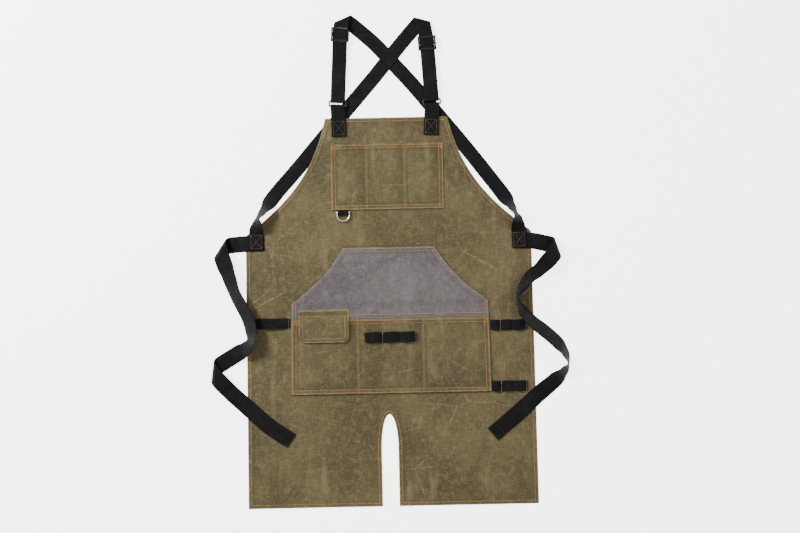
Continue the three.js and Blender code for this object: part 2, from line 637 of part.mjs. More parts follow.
const stubX = BIB_HALF - STUB_INSET;
const ringY = APRON_LENGTH + RING_RISE + 8;
const cornerX = WAIST_HALF;
const cornerY = WAIST_HEIGHT;
const PATCH_FACE = SKIRT_FACE + STRAP_THICK + GAP;      // the strap end lies on the tie's end
const crossing = new THREE.Vector2(9.3, APRON_LENGTH + 137.6);

// A place this high above the side corners, and this far out from the edge of the armhole.
function besideArmhole(side, rise, out, base, roll) {
  const y = cornerY + rise;
  return at(side * (panelHalfWidth(y) + out), y, base, roll);
}

// The right strap's way over the left one where they cross.
const crossingWay = new THREE.Vector2(-0.64, -0.77);
const hump = [[-48, 0], [-26, STRAP_THICK + GAP], [26, STRAP_THICK + GAP], [48, 0]].map(
  ([run, base]) => at(crossing.x + run * crossingWay.x, crossing.y + run * crossingWay.y, base),
);

const patchY = APRON_LENGTH - 2 - STUB_REACH;
strapSet('left', new THREE.Vector2(-stubX - 2.6, patchY), new THREE.Vector2(-stubX - 4, ringY),
  new THREE.Vector2(-103.6, APRON_LENGTH + 196),
  { corner: at(-97.5, APRON_LENGTH + 235), after: at(-61.5, APRON_LENGTH + 210.5) },
  [
    at(-23.5, APRON_LENGTH + 173.6), at(crossing.x, crossing.y), at(62.7, APRON_LENGTH + 77.8),
    at(127, APRON_LENGTH - 1), besideArmhole(1, 188, 22.1), besideArmhole(1, 116.4, 36.8),
    besideArmhole(1, 80, 34), besideArmhole(1, 54, 25, 0.8, -52),
    besideArmhole(1, 37, 15.2, 1.8, -70), besideArmhole(1, 23, 3.5, 2.8, -46),
    besideArmhole(1, 8, -14.7, PATCH_FACE, -16), at(cornerX - 29, cornerY - 6, PATCH_FACE),
    at(cornerX - 28, cornerY - 44, PATCH_FACE),
  ]);

strapSet('right', new THREE.Vector2(stubX - 4.4, patchY), new THREE.Vector2(stubX, ringY),
  new THREE.Vector2(99.6, APRON_LENGTH + 172),
  { corner: at(89.5, APRON_LENGTH + 230), after: at(44.9, APRON_LENGTH + 181.6) },
  [
    ...hump, at(-63.6, APRON_LENGTH + 52.2),
    at(-120, APRON_LENGTH - 12), besideArmhole(-1, 144, 26.1), besideArmhole(-1, 103, 34.9),
    besideArmhole(-1, 80, 34), besideArmhole(-1, 54, 27, 0.8, 54),
    besideArmhole(-1, 38, 21.4, 1.8, 70), besideArmhole(-1, 24, 7.7, 2.8, 46),
    besideArmhole(-1, 10, -7.1, PATCH_FACE, 16), at(-cornerX + 25, cornerY - 2, PATCH_FACE),
    at(-cornerX + 25, cornerY - 38, PATCH_FACE),
  ]);

// ---- waist ties, from the side corners down beside the skirt ----
const TIE_FOLD = 10;            // radius of the soft folds
const tieTop = 2 * TIE_FOLD;

function leftTie() {
  const first = fold(at(-cornerX - 15, cornerY - 23), at(-cornerX - 63, cornerY - 27),
    at(-cornerX - 48, cornerY - 72), TIE_FOLD, 1, 0, TIE_WIDTH);
  const second = fold(at(-cornerX - 20, cornerY - 276), at(-cornerX - 88, cornerY - 318),
    at(-cornerX - 60, cornerY - 348), TIE_FOLD, 1, 0, TIE_WIDTH);
  return [
    ...legRows([at(-cornerX + 43, cornerY - 21, SKIRT_FACE),
      at(-cornerX - 6, cornerY - 22.5, SKIRT_FACE), first.entry], TIE_WIDTH),
    ...first.rows,
    ...turnedOver(legRows([first.exit, at(-cornerX - 40, cornerY - 97, 9, 26),
      at(-cornerX - 27, cornerY - 138, 1, 40), at(-cornerX - 13, cornerY - 166, 1.6, 36),
      at(-cornerX + 2, cornerY - 196, 1.8, 34), at(-cornerX + 9, cornerY - 226, 1.8, 40),
      at(-cornerX + 9, cornerY - 249, 1.8, 56), at(-cornerX - 4, cornerY - 267, 1.2, 34),
      at(-cornerX - 22, cornerY - 278, 0.4, 6), second.entry], TIE_WIDTH)),
    ...turnedOver(second.rows),
    ...legRows([second.exit, at(-cornerX - 41, cornerY - 369, 13), at(-cornerX - 12, cornerY - 398, 5),
      at(-cornerX + 12, cornerY - 421, SKIRT_FACE), at(-cornerX + 51, cornerY - 455, SKIRT_FACE),
      at(-cornerX + 98, cornerY - 487, SKIRT_FACE)], TIE_WIDTH),
  ];
}

function rightTie() {
  const first = fold(at(cornerX, cornerY - 27.5), at(cornerX + 66, cornerY - 42),
    at(cornerX + 36, cornerY - 78), TIE_FOLD, 1, 0, TIE_WIDTH);
  return [
    ...legRows([at(cornerX - 43, cornerY - 25, SKIRT_FACE),
      at(cornerX + 5, cornerY - 28.6, SKIRT_FACE), first.entry], TIE_WIDTH),
    ...first.rows,
    ...turnedOver(legRows([first.exit, at(cornerX + 15, cornerY - 97, 9, -30),
      at(cornerX - 6, cornerY - 113, 1.8, -38), at(cornerX - 22, cornerY - 134, 1.6, -48),
      at(cornerX - 33, cornerY - 150, 1.6, -66), at(cornerX - 36, cornerY - 163, 1.6, -78),
      at(cornerX - 32, cornerY - 176, 1.6, -66), at(cornerX - 22, cornerY - 194, 1.6, -46),
      at(cornerX - 2, cornerY - 217, 1.6, -40), at(cornerX + 25, cornerY - 239, 1.2, -36),
      at(cornerX + 56, cornerY - 267.5, 0, -38), at(cornerX + 73, cornerY - 291, 0, -58),
      at(cornerX + 80, cornerY - 316, 0, -78), at(cornerX + 70, cornerY - 334, 0, -52),
      at(cornerX + 49, cornerY - 356, 0, -14), at(cornerX + 15, cornerY - 384, SKIRT_FACE),
      at(cornerX - 32, cornerY - 425.5, SKIRT_FACE), at(cornerX - 99, cornerY - 481, SKIRT_FACE)],
    TIE_WIDTH)),
  ];
}
add('left_waist_tie', webbing(leftTie(), STRAP_THICK), webbingBlack);
add('right_waist_tie', webbing(rightTie(), STRAP_THICK), webbingBlack);

// ---- origin at the middle of the underside of the whole apron ----
apron.updateMatrixWorld(true);
const bounds = new THREE.Box3().setFromObject(apron, true);
apron.position.set(-(bounds.min.x + bounds.max.x) / 2, -(bounds.min.y + bounds.max.y) / 2,
  -bounds.min.z);

export default apron;
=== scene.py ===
# %% [markdown]
# # A canvas work apron, laid out flat
# The solid model of the apron is already packed. It holds every piece as a plain solid, in its
# right place and size. This lesson dresses it: each piece of cloth, webbing and metal is made
# again as a fine mesh where its solid is, with its stitches, weave and wear. All sizes below
# are millimetres, counted from the middle of the hem, and turned into metres at the last step.

import math

import bmesh
import bpy
import numpy as np
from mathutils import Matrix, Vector


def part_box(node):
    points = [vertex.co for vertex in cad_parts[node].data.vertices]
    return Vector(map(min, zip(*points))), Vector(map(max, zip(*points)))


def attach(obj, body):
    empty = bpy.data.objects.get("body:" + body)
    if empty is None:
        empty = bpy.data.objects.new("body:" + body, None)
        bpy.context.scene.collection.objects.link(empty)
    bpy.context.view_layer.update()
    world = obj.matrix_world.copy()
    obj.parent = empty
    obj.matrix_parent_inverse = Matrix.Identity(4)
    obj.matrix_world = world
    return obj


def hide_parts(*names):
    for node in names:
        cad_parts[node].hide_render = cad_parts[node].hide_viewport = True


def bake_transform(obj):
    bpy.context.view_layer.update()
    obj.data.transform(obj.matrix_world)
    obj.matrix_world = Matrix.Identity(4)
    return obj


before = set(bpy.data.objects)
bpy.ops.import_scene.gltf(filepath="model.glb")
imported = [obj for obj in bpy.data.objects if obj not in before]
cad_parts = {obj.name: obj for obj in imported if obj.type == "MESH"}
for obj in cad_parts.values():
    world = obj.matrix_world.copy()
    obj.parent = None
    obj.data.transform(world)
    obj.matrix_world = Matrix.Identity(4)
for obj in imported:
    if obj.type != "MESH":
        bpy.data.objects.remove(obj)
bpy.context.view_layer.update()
MM = 0.001

panel_low, panel_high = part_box("apron_panel")
HEM_MIDDLE = np.array([(panel_low.x + panel_high.x) / 2, panel_low.y, 0.0])


def in_frame(points):
    """Apron millimetres to frame metres."""
    return np.asarray(points, float) * MM + HEM_MIDDLE


def node_box(node):
    """The lowest and highest corner of a solid, in apron millimetres."""
    low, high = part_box(node)
    return (np.array(low) - HEM_MIDDLE) / MM, (np.array(high) - HEM_MIDDLE) / MM


def linked(name, data):
    """A new object in the scene."""
    obj = bpy.data.objects.new(name, data)
    bpy.context.scene.collection.objects.link(obj)
    return obj


# %% [markdown]
# ## Camera and light
# The apron is seen from straight above, a little turned. A long lens from three metres up keeps
# the outline true. One soft light from the upper left gives the straps a shadow on one side. A
# wider one and a bright plain sky fill the rest, so that nothing goes black.

# %% Camera and light
CAMERA_HEIGHT = 3.133
LENS = 60
VIEW_CENTRE = (25.7, 562.6, 0)
VIEW_TURN = math.radians(-1.18)
SKY_STRENGTH = 0.68

camera_data = bpy.data.cameras.new("camera")
camera_data.lens = LENS
camera = linked("camera", camera_data)
camera.location = Vector(in_frame(VIEW_CENTRE)) + Vector((0, 0, CAMERA_HEIGHT))
camera.rotation_euler = (0, 0, VIEW_TURN)
bpy.context.scene.camera = camera


def soft_light(name, place, size, power):
    data = bpy.data.lights.new(name, "AREA")
    data.shape = "SQUARE"
    data.size = size
    data.energy = power
    light = linked(name, data)
    light.location = place
    light.rotation_euler = (-Vector(place)).to_track_quat("-Z", "Y").to_euler()


soft_light("key_light", (-2.2, 1.5, 2.0), 0.8, 192)
soft_light("fill_light", (1.5, 0.2, 2.8), 2.4, 36)
world = bpy.data.worlds.new("sky")
world.use_nodes = True
sky = world.node_tree.nodes["Background"].inputs
sky["Color"].default_value, sky["Strength"].default_value = (1, 1, 1, 1), SKY_STRENGTH
bpy.context.scene.world = world

# %% [markdown]
# ## Materials
# Every finish is a node tree on Object coordinates, so that a pattern keeps its real size in
# metres. Cloth takes three scales of pattern: broad fading, streaks of single yarns along and
# across, and thin pale lines where the wax has cracked along old creases. Webbing follows its
# own length, so it reads a UV map that counts metres along the strap.

# %% Material helpers
def add_node(tree, kind, inputs=None, **settings):
    """A node with its settings made and its inputs set or linked, by their name or number."""
    node = tree.nodes.new(kind)
    for key, value in settings.items():
        setattr(node, key, value)
    for key, value in (inputs or {}).items():
        if isinstance(value, bpy.types.NodeSocket):
            tree.links.new(value, node.inputs[key])
        else:
            node.inputs[key].default_value = value
    return node


class Finish:
    """A material under construction, with short calls for the nodes used below."""

    def __init__(self, name, roughness=0.8, metallic=0.0, sheen=0.0, gloss=0.5):
        self.material = bpy.data.materials.new(name)
        self.material.use_nodes = True
        self.tree = self.material.node_tree
        self.shader = self.tree.nodes["Principled BSDF"]
        for key, value in (("Roughness", roughness), ("Metallic", metallic),
                           ("Sheen Weight", sheen), ("Sheen Roughness", 0.5),
                           ("Specular IOR Level", gloss)):
            self.shader.inputs[key].default_value = value
        self.object_place = self.add("TexCoord").outputs["Object"]

    def add(self, kind, inputs=None, **settings):
        return add_node(self.tree, f"ShaderNode{kind}", inputs, **settings)

    def drive(self, name, value):
        """Let a pattern set one of the shader's own values."""
        self.tree.links.new(value, self.shader.inputs[name])

    def scaled(self, place, scale):
        return self.add("Mapping", {"Vector": place, "Scale": scale}).outputs["Vector"]

    def noise(self, place, scale, detail=3.0, roughness=0.55, output="Fac"):
        return self.add("TexNoise", {"Vector": place, "Scale": scale, "Detail": detail,
                                     "Roughness": roughness}).outputs[output]

    def cells(self, place, scale):
        return self.add("TexVoronoi", {"Vector": place, "Scale": scale},
                        feature="DISTANCE_TO_EDGE").outputs["Distance"]

    def band(self, value, low, high, out_low=0.0, out_high=1.0):
        return self.add("MapRange", dict(enumerate((value, low, high, out_low, out_high))),
                        interpolation_type="SMOOTHSTEP").outputs["Result"]

    def math(self, operation, a, b=0.0):
        return self.add("Math", {0: a, 1: b}, operation=operation).outputs["Value"]

    def mix(self, share, a, b):
        return self.add("Mix", {0: share, 6: a, 7: b}, data_type="RGBA").outputs[2]

    def bent(self, place, amount, scale):
        """The place, pushed about by a noise, so that lines on it wander."""
        push = self.noise(place, scale, 4, 0.5, "Color")
        return self.add("VectorMath", {0: push, 1: (amount, amount, amount), 2: place},
                        operation="MULTIPLY_ADD").outputs["Vector"]

    def attribute(self, name):
        return self.add("Attribute", attribute_name=name).outputs["Fac"]

    def bump(self, height, distance, strength=1.0):
        self.drive("Normal", self.add("Bump", {"Height": height, "Distance": distance,
                                               "Strength": strength}).outputs["Normal"])


def rgb(red, green, blue):
    """A colour given in screen values from 0 to 255, as the shader's linear values."""
    def linear(value):
        share = value / 255
        return share / 12.92 if share <= 0.04045 else ((share + 0.055) / 1.055) ** 2.4
    return (linear(red), linear(green), linear(blue), 1.0)


# %% Canvas, webbing, thread, plastic and metal
def canvas(name, dark, middle, light, pale, crease_share, depth, slub_share):
    """Waxed canvas: dark and light fading, painted fold shading, yarn streaks both ways, pale
    cracked creases and painted shade.
    """
    f = Finish(name, roughness=0.86, sheen=0.04, gloss=0.15)
    place = f.object_place

    def both_ways(fine, long, *detail):
        """Streaks like single yarns, up and across together."""
        up, across = (f.noise(f.scaled(place, scale), 1.0, *detail)
                      for scale in ((fine, long, 1), (long, fine, 1)))
        return f.math("MULTIPLY", f.math("ADD", up, across), 0.5)

    fading = f.noise(place, 6.0, 5.0, 0.6)
    # Painted fold shading: soft long streaks, darker and lighter, stand in for the shade and light
    # of broad folds.
    painted_fold_shading = f.noise(f.scaled(f.bent(place, 0.05, 5.0), (19, 5, 1)), 1.0, 3.0)
    mottle = f.noise(place, 70.0, 5.0, 0.7)
    yarn, slubs = both_ways(900, 70, 2.0), both_ways(330, 42, 3.0, 0.6)
    tone = f.mix(f.band(fading, 0.36, 0.64), dark, middle)
    for pattern, start, full, share, other in (
            (mottle, 0.45, 0.72, 0.5, light), (painted_fold_shading, 0.46, 0.36, depth, dark),
            (painted_fold_shading, 0.58, 0.70, depth, light), (slubs, 0.50, 0.62, slub_share, light),
            (slubs, 0.50, 0.39, slub_share, dark), (yarn, 0.50, 0.62, 0.5, light)):
        tone = f.mix(f.band(pattern, start, full, 0, share), tone, other)
    wandering = f.bent(place, 0.05, 3.0)
    long_lines = f.band(f.cells(f.scaled(wandering, (5.2, 8.5, 1)), 1.0), 0.0, 0.010, 1, 0)
    crackle = f.cells(f.scaled(f.bent(place, 0.02, 9.0), (21, 15, 1)), 1.0)
    short_lines = f.band(crackle, 0, 0.022, 0.5, 0)
    patches = f.band(f.noise(place, 7.5, 2.0), 0.46, 0.62)
    far_patches = f.band(f.noise(place, 10.0, 2.0), 0.55, 0.66)
    lines = f.math("MAXIMUM", f.math("MULTIPLY", long_lines, patches),
                   f.math("MULTIPLY", short_lines, far_patches))
    broken = f.band(f.noise(place, 200.0, 3.0), 0.36, 0.62)
    lines = f.math("MULTIPLY", f.math("MULTIPLY", lines, broken), crease_share)
    tone = f.mix(lines, tone, pale)
    tone = f.mix(f.math("MULTIPLY", f.attribute("worn"), 0.55), tone, pale)
    # Painted shade, from a point attribute: darker in the steps and valleys beside seams and
    # pockets.
    tone = f.mix(f.math("MULTIPLY", f.attribute("painted_shade"), 0.5), tone, dark)
    f.drive("Base Color", tone)
    f.drive("Roughness", f.band(mottle, 0.3, 0.7, 0.8, 0.93))
    relief = f.math("ADD", f.math("MULTIPLY", yarn, 0.9), f.math("MULTIPLY", slubs, 1.2))
    f.bump(relief, 0.0006, 0.8)
    return f.material


def webbing_finish():
    """Black ribbed webbing: rows of ribs along it, each crossed by slanting yarns."""
    rib_pitch, column_pitch = 0.0021, 0.0038
    f = Finish("webbing_black", roughness=0.7, sheen=0.01, gloss=0.1)
    split = f.add("SeparateXYZ", {0: f.add("UVMap", uv_map="webbing_uv").outputs["UV"]})
    across, along = split.outputs[0], split.outputs[1]
    side = f.math("PINGPONG", across, column_pitch / 2)
    slant = f.math("ADD", along, f.math("MULTIPLY", side, 0.8))
    rib = f.math("SINE", f.math("MULTIPLY", slant, 2 * math.pi / rib_pitch))
    column = f.math("SINE", f.math("MULTIPLY", across, 2 * math.pi / column_pitch))
    weave = f.math("ADD", f.math("MULTIPLY", rib, 0.5), f.math("MULTIPLY", column, 0.35))
    lint = f.noise(f.object_place, 420.0, 3.0)
    fade = f.noise(f.object_place, 30.0, 4.0)
    tone = f.mix(f.band(weave, -0.7, 0.8), rgb(4, 4, 5), rgb(18, 18, 19))
    tone = f.mix(f.band(fade, 0.42, 0.75, 0, 0.45), tone, rgb(30, 29, 29))
    tone = f.mix(f.band(lint, 0.60, 0.76, 0, 0.55), tone, rgb(66, 64, 61))
    f.drive("Base Color", tone)
    f.bump(f.math("ADD", weave, f.math("MULTIPLY", lint, 0.5)), 0.00035, 0.9)
    return f.material


def thread(name, tone, other):
    f = Finish(name, roughness=0.6, sheen=0.05, gloss=0.3)
    dye = f.band(f.noise(f.object_place, 70.0, 3.0), 0.35, 0.65)
    f.drive("Base Color", f.mix(dye, tone, other))
    f.bump(f.noise(f.object_place, 1800.0, 2.0), 0.0002, 0.6)
    return f.material


def moulded_plastic():
    f = Finish("plastic_black", roughness=0.42, gloss=0.35)
    haze = f.noise(f.object_place, 160.0, 4.0)
    f.drive("Base Color", f.mix(f.band(haze, 0.4, 0.75), rgb(12, 12, 13), rgb(30, 30, 31)))
    f.drive("Roughness", f.band(haze, 0.3, 0.7, 0.34, 0.55))
    f.bump(f.noise(f.object_place, 2600.0, 2.0), 0.0001, 0.5)
    return f.material


def worn_enamel():
    """Black enamel over steel, rubbed through to bright metal where the edges stick out."""
    f = Finish("enamel_black", roughness=0.4, gloss=0.25)
    chips = f.noise(f.object_place, 900.0, 4.0)
    bare = f.band(f.math("ADD", f.attribute("worn"), f.math("MULTIPLY", chips, 0.5)), 0.82, 1.0)
    f.drive("Base Color", f.mix(bare, rgb(10, 10, 11), rgb(168, 166, 162)))
    f.drive("Metallic", bare)
    f.drive("Roughness", f.band(bare, 0, 1, 0.42, 0.27))
    f.bump(chips, 0.0001, 0.4)
    return f.material


def nickel():
    f = Finish("nickel_plate", roughness=0.22, metallic=1.0)
    scuffs = f.noise(f.scaled(f.object_place, (1, 1, 4)), 700.0, 5.0, 0.7)
    f.drive("Base Color", f.mix(f.band(scuffs, 0.35, 0.7), rgb(214, 212, 206), rgb(246, 245, 241)))
    f.drive("Roughness", f.band(scuffs, 0.3, 0.75, 0.16, 0.38))
    f.bump(scuffs, 0.00008, 0.5)
    return f.material


OLIVE = canvas("canvas_olive", rgb(64, 57, 38), rgb(86, 77, 52), rgb(114, 103, 74),
               rgb(158, 146, 110), 0.45, 0.5, 0.32)
GREY = canvas("canvas_grey", rgb(74, 68, 68), rgb(88, 82, 81), rgb(116, 111, 112),
              rgb(150, 142, 138), 0.1, 0.25, 0.2)
WEBBING = webbing_finish()
TAN_THREAD = thread("thread_tan", rgb(198, 146, 80), rgb(160, 118, 66))
FADED_THREAD = thread("thread_faded", rgb(156, 124, 72), rgb(128, 106, 64))
BROWN_THREAD = thread("thread_brown", rgb(112, 92, 74), rgb(78, 64, 56))
RUST_THREAD = thread("thread_rust", rgb(178, 92, 48), rgb(160, 88, 50))
PALE_THREAD = thread("thread_pale", rgb(168, 150, 138), rgb(130, 116, 112))
BLACK_THREAD = thread("thread_black", rgb(24, 24, 25), rgb(42, 42, 43))
PLASTIC = moulded_plastic()
ENAMEL = worn_enamel()
NICKEL = nickel()
print("materials:", len(bpy.data.materials))

# %% [markdown]
# ## Floor
# The floor is plain white and gives off light of its own, so it stays white right up to the
# cloth. It reaches far enough out to fill a low view as well.

# %% Floor
FLOOR_HALF, FLOOR_DROP, FLOOR_GLOW = 40.0, -0.0003, 3.4
floor_finish = Finish("floor_paper", roughness=0.9)
floor_finish.shader.inputs["Emission Color"].default_value = (1, 1, 1, 1)
floor_finish.shader.inputs["Emission Strength"].default_value = FLOOR_GLOW
floor_tone = floor_finish.noise(floor_finish.object_place, 3.0)
floor_finish.drive("Base Color", floor_finish.mix(floor_tone, (0.97, 0.97, 0.97, 1),
                                                  (0.985, 0.985, 0.985, 1)))
floor_mesh = bpy.data.meshes.new("floor")
floor_mesh.from_pydata([(x * FLOOR_HALF, y * FLOOR_HALF, FLOOR_DROP)
                        for x, y in ((-1, -1), (1, -1), (1, 1), (-1, 1))], [], [(0, 1, 2, 3)])
floor_mesh.materials.append(floor_finish.material)
linked("floor", floor_mesh)

# %% [markdown]
# ## A sheet of cloth as a grid
# Every piece of canvas here is a grid of points with an upper and a lower skin, closed round
# its outline. The grid is drawn in code rather than modelled from a plane, because its lines
# can then run exactly along the hems and seams. A bevel rounds the folded edge afterwards.

# %% Grid solids
def grid_faces(rows, columns, keep):
    """Faces of a closed two-skin grid: the upper skin, the lower skin and the walls between."""
    low = np.arange(rows * columns).reshape(rows, columns)
    high = low + rows * columns
    i, j = np.nonzero(keep)
    upper = np.stack([high[i, j], high[i, j + 1], high[i + 1, j + 1], high[i + 1, j]], 1)
    lower = np.stack([low[i, j], low[i + 1, j], low[i + 1, j + 1], low[i, j + 1]], 1)
    around = np.pad(keep, 1)
    faces = [upper, lower]
    for di, dj, start, end in ((-1, 0, (0, 0), (0, 1)), (1, 0, (1, 1), (1, 0)),
                               (0, -1, (1, 0), (0, 0)), (0, 1, (0, 1), (1, 1))):
        open_side = ~around[i + 1 + di, j + 1 + dj]
        a, b = i[open_side], j[open_side]
        p, q = (a + start[0], b + start[1]), (a + end[0], b + end[1])
        faces.append(np.stack([low[p], low[q], high[q], high[p]], 1))
    return np.concatenate(faces)


def mesh_object(name, points, faces, material, values=None, uv=None, smooth_angle=50):
    """A mesh in the frame from apron millimetres, with named point values and a UV map."""
    used, index = np.unique(faces, return_inverse=True)
    faces = index.reshape(np.shape(faces))
    mesh = bpy.data.meshes.new(name)
    mesh.from_pydata(in_frame(points[used]).tolist(), [], faces.tolist())
    for key, value in (values or {}).items():
        layer = mesh.attributes.new(key, "FLOAT", "POINT")
        layer.data.foreach_set("value", np.asarray(value, np.float32).ravel()[used])
    if uv is not None:
        layer = mesh.uv_layers.new(name="webbing_uv")
        corners = np.zeros(len(mesh.loops), np.int32)
        mesh.loops.foreach_get("vertex_index", corners)
        layer.data.foreach_set("uv", np.asarray(uv, np.float32)[used][corners].ravel())
    mesh.materials.append(material)
    mesh.polygons.foreach_set("use_smooth", np.ones(len(mesh.polygons), bool))
    mesh.set_sharp_from_angle(angle=math.radians(smooth_angle))
    return linked(name, mesh)


def dress(piece, slot, body="apron", *nodes):
    """Hand a piece over: the solids it stands for and the body it rides. The slot is not used."""
    if nodes:
        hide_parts(*nodes)
    if body:
        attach(piece, body)


def settled(obj):
    """The object with its modifiers worked out into plain mesh."""
    graph = bpy.context.evaluated_depsgraph_get()
    mesh = bpy.data.meshes.new_from_object(obj.evaluated_get(graph))
    obj.modifiers.clear()
    obj.data = mesh
    return obj


def rounded(obj, width, segments=2, angle=60):
    bevel = obj.modifiers.new("rounded", "BEVEL")
    bevel.width = width * MM
    bevel.segments = segments
    bevel.angle_limit = math.radians(angle)
    bevel.harden_normals = False
    return settled(obj)


def cloth(name, x, y, low, thick, material, values, keep=None):
    """A sheet over the plan grid x, y, with its underside at low."""
    rows, columns = x.shape
    if keep is None:
        keep = np.ones((rows - 1, columns - 1), bool)
    skins = [np.stack([x, y, z], -1).reshape(-1, 3) for z in (low, low + thick)]
    values = {key: np.concatenate([v.ravel(), v.ravel()]) for key, v in values.items()}
    faces = grid_faces(rows, columns, keep)
    obj = mesh_object(name, np.concatenate(skins), faces, material, values)
    rounded(obj, 0.3)
    print(name, "faces:", len(obj.data.polygons))
    return obj


def hemmed_columns(left, right, steps, count, left_lean=1, right_lean=1):
    """Places across each row: hem steps in from both of its ends and even steps between."""
    share = np.linspace(0, 1, count)[None, 1:-1]
    first = left[:, None] + steps * left_lean
    last = right[:, None] - steps[::-1] * right_lean
    start = first[:, -1:]
    return np.concatenate([first, start + (last[:, :1] - start) * share, last], 1)


def ease(value):
    """0 below 0, 1 above 1, and a smooth climb between."""
    value = np.clip(value, 0, 1)
    return value * value * (3 - 2 * value)


def ripple(x, y, size, seed):
    """Smooth random heights from -1 to 1, with hills about size millimetres apart."""
    heights = np.random.default_rng(seed).uniform(-1, 1, (96, 96))
    u, v = (np.asarray(x) + 1500) / size, (np.asarray(y) + 500) / size
    i, j = np.floor(u).astype(int), np.floor(v).astype(int)
    fu, fv = ease(u - i), ease(v - j)
    i, j = i % 95, j % 95
    near = heights[i, j] * (1 - fu) + heights[i + 1, j] * fu
    far = heights[i, j + 1] * (1 - fu) + heights[i + 1, j + 1] * fu
    return near * (1 - fv) + far * fv


# %% [markdown]
# ## The panel
# One piece of canvas from hem to bib, folded over and stitched all round. It lies on the floor,
# but never dead flat, so a slow swell lifts it a few millimetres between its pockets. Every
# piece on top adds the same swell, which keeps the layers from cutting into each other.

# %% The panel's outline
CANVAS_THICK = 0.75
HEM_FOLD, POCKET_FOLD, FLAP_FOLD = 0.5, 0.45, 0.35
FOLD_SLOPE = 1.4
CLOTH_ROOM = 1.2   # one cloth with its folded hem
HEM_WIDTH = 11.0
HEM_STEPS = np.array([0, 0.8, 3.5, 7, 8, 9, 10.5, 12])
LENGTH = node_box("apron_panel")[1][1]
HEM_HALF = node_box("apron_panel")[1][0]
WAIST_HALF, WAIST_Y, CORNER_CUT = 335.0, 645.0, 5.0
BIB_HALF, BIB_LIFT = 143.4, 2.1
SLIT_CENTRE, SLIT_HALF, SLIT_TOP, SLIT_ARCH = -6.0, 19.5, 216.0, 80.0
SLIT_FOOT = SLIT_TOP - SLIT_ARCH


def folded(height, inward):
    """What a hem's fold adds: its height up to the fold's inner edge, and nothing inward of it."""
    return height * (1 - ease(inward / FOLD_SLOPE))


def curve_between(start, first, second, end, count):
    """A curve from start to end; first and second say how far its two bends reach, as shares."""
    start, end = np.array(start), np.array(end)
    bend_1, bend_2 = start + (end - start) * first, start + (end - start) * second
    t = np.linspace(0, 1, count)[:, None]
    return ((1 - t) ** 3 * start + 3 * t * (1 - t) ** 2 * bend_1
            + 3 * t ** 2 * (1 - t) * bend_2 + t ** 3 * end)


armhole = curve_between((BIB_HALF, LENGTH), (0.143, 0.42), (0.384, 0.68),
                        (WAIST_HALF - CORNER_CUT, WAIST_Y), 60)


def panel_half(y):
    y = np.asarray(y, float)
    side_top = WAIST_Y - CORNER_CUT
    side = HEM_HALF + (WAIST_HALF - HEM_HALF) * y / side_top
    nip = WAIST_HALF - (y - side_top)
    curve = np.interp(y, armhole[::-1, 1], armhole[::-1, 0])
    return np.where(y >= WAIST_Y, curve, np.where(y > side_top, nip, side))


def slit_half(y):
    climb = np.clip((np.asarray(y, float) - SLIT_FOOT) / SLIT_ARCH, 0, 1)
    return SLIT_HALF * np.sqrt(1 - climb ** 2)


def slit_distance(x, y):
    """How far a point is from the slit's edge."""
    across = (x - SLIT_CENTRE) / SLIT_HALF
    climb = np.maximum(y - SLIT_FOOT, 0) / SLIT_ARCH
    radius = np.hypot(across, climb)
    slope = np.hypot(across / SLIT_HALF, climb / SLIT_ARCH) / np.maximum(radius, 1e-6)
    return (radius - 1) / np.maximum(slope, 1e-6)


def edge_distance(x, y):
    """How far a point of the panel is from its nearest edge."""
    lean = np.hypot(1, (panel_half(y + 0.5) - panel_half(y - 0.5)))
    side = (panel_half(y) - np.abs(x)) / np.maximum(lean, 1)
    return np.minimum(np.minimum(side, slit_distance(x, y)), np.minimum(y, LENGTH - y))


def bib_lift(y):
    return BIB_LIFT * ease((y - WAIST_Y - 5) / 40)


CALM_ABOVE, POCKETS_FOOT, POCKETS_HALF = 600.0, 262.0, 236.0


def swell(x, y):
    """The panel's slow rise and fall, gentle under the pockets and livelier on the legs."""
    y = np.asarray(y, float)
    slow = 0.5 + 0.5 * ripple(x, y, 150, 4)
    quick = 0.5 + 0.5 * ripple(x + 0.35 * y, 0.55 * y, 46, 9)
    calm = 1 - 0.85 * ease((y - CALM_ABOVE) / 60)
    legs = ease((POCKETS_FOOT - y) / 60)
    sides = ease((np.abs(x) - POCKETS_HALF) / 30) * ease((WAIST_Y - 5 - y) / 60)
    lively = np.maximum(legs, sides)
    return calm * (0.7 * slow + lively * (1.9 * slow * slow + 1.5 * quick * quick))


def panel_top(x, y):
    hem = folded(HEM_FOLD, edge_distance(x, y) - HEM_WIDTH + 0.7)
    return bib_lift(y) + swell(x, y) + CANVAS_THICK + hem


# %% The panel's cloth
# Level pocket edges: extra panel rows, and a line of painted shade in the step beside each.
POCKET_STEPS = ((610.6, 107), (264.0, 236), (696.0, 131))   # height, half width


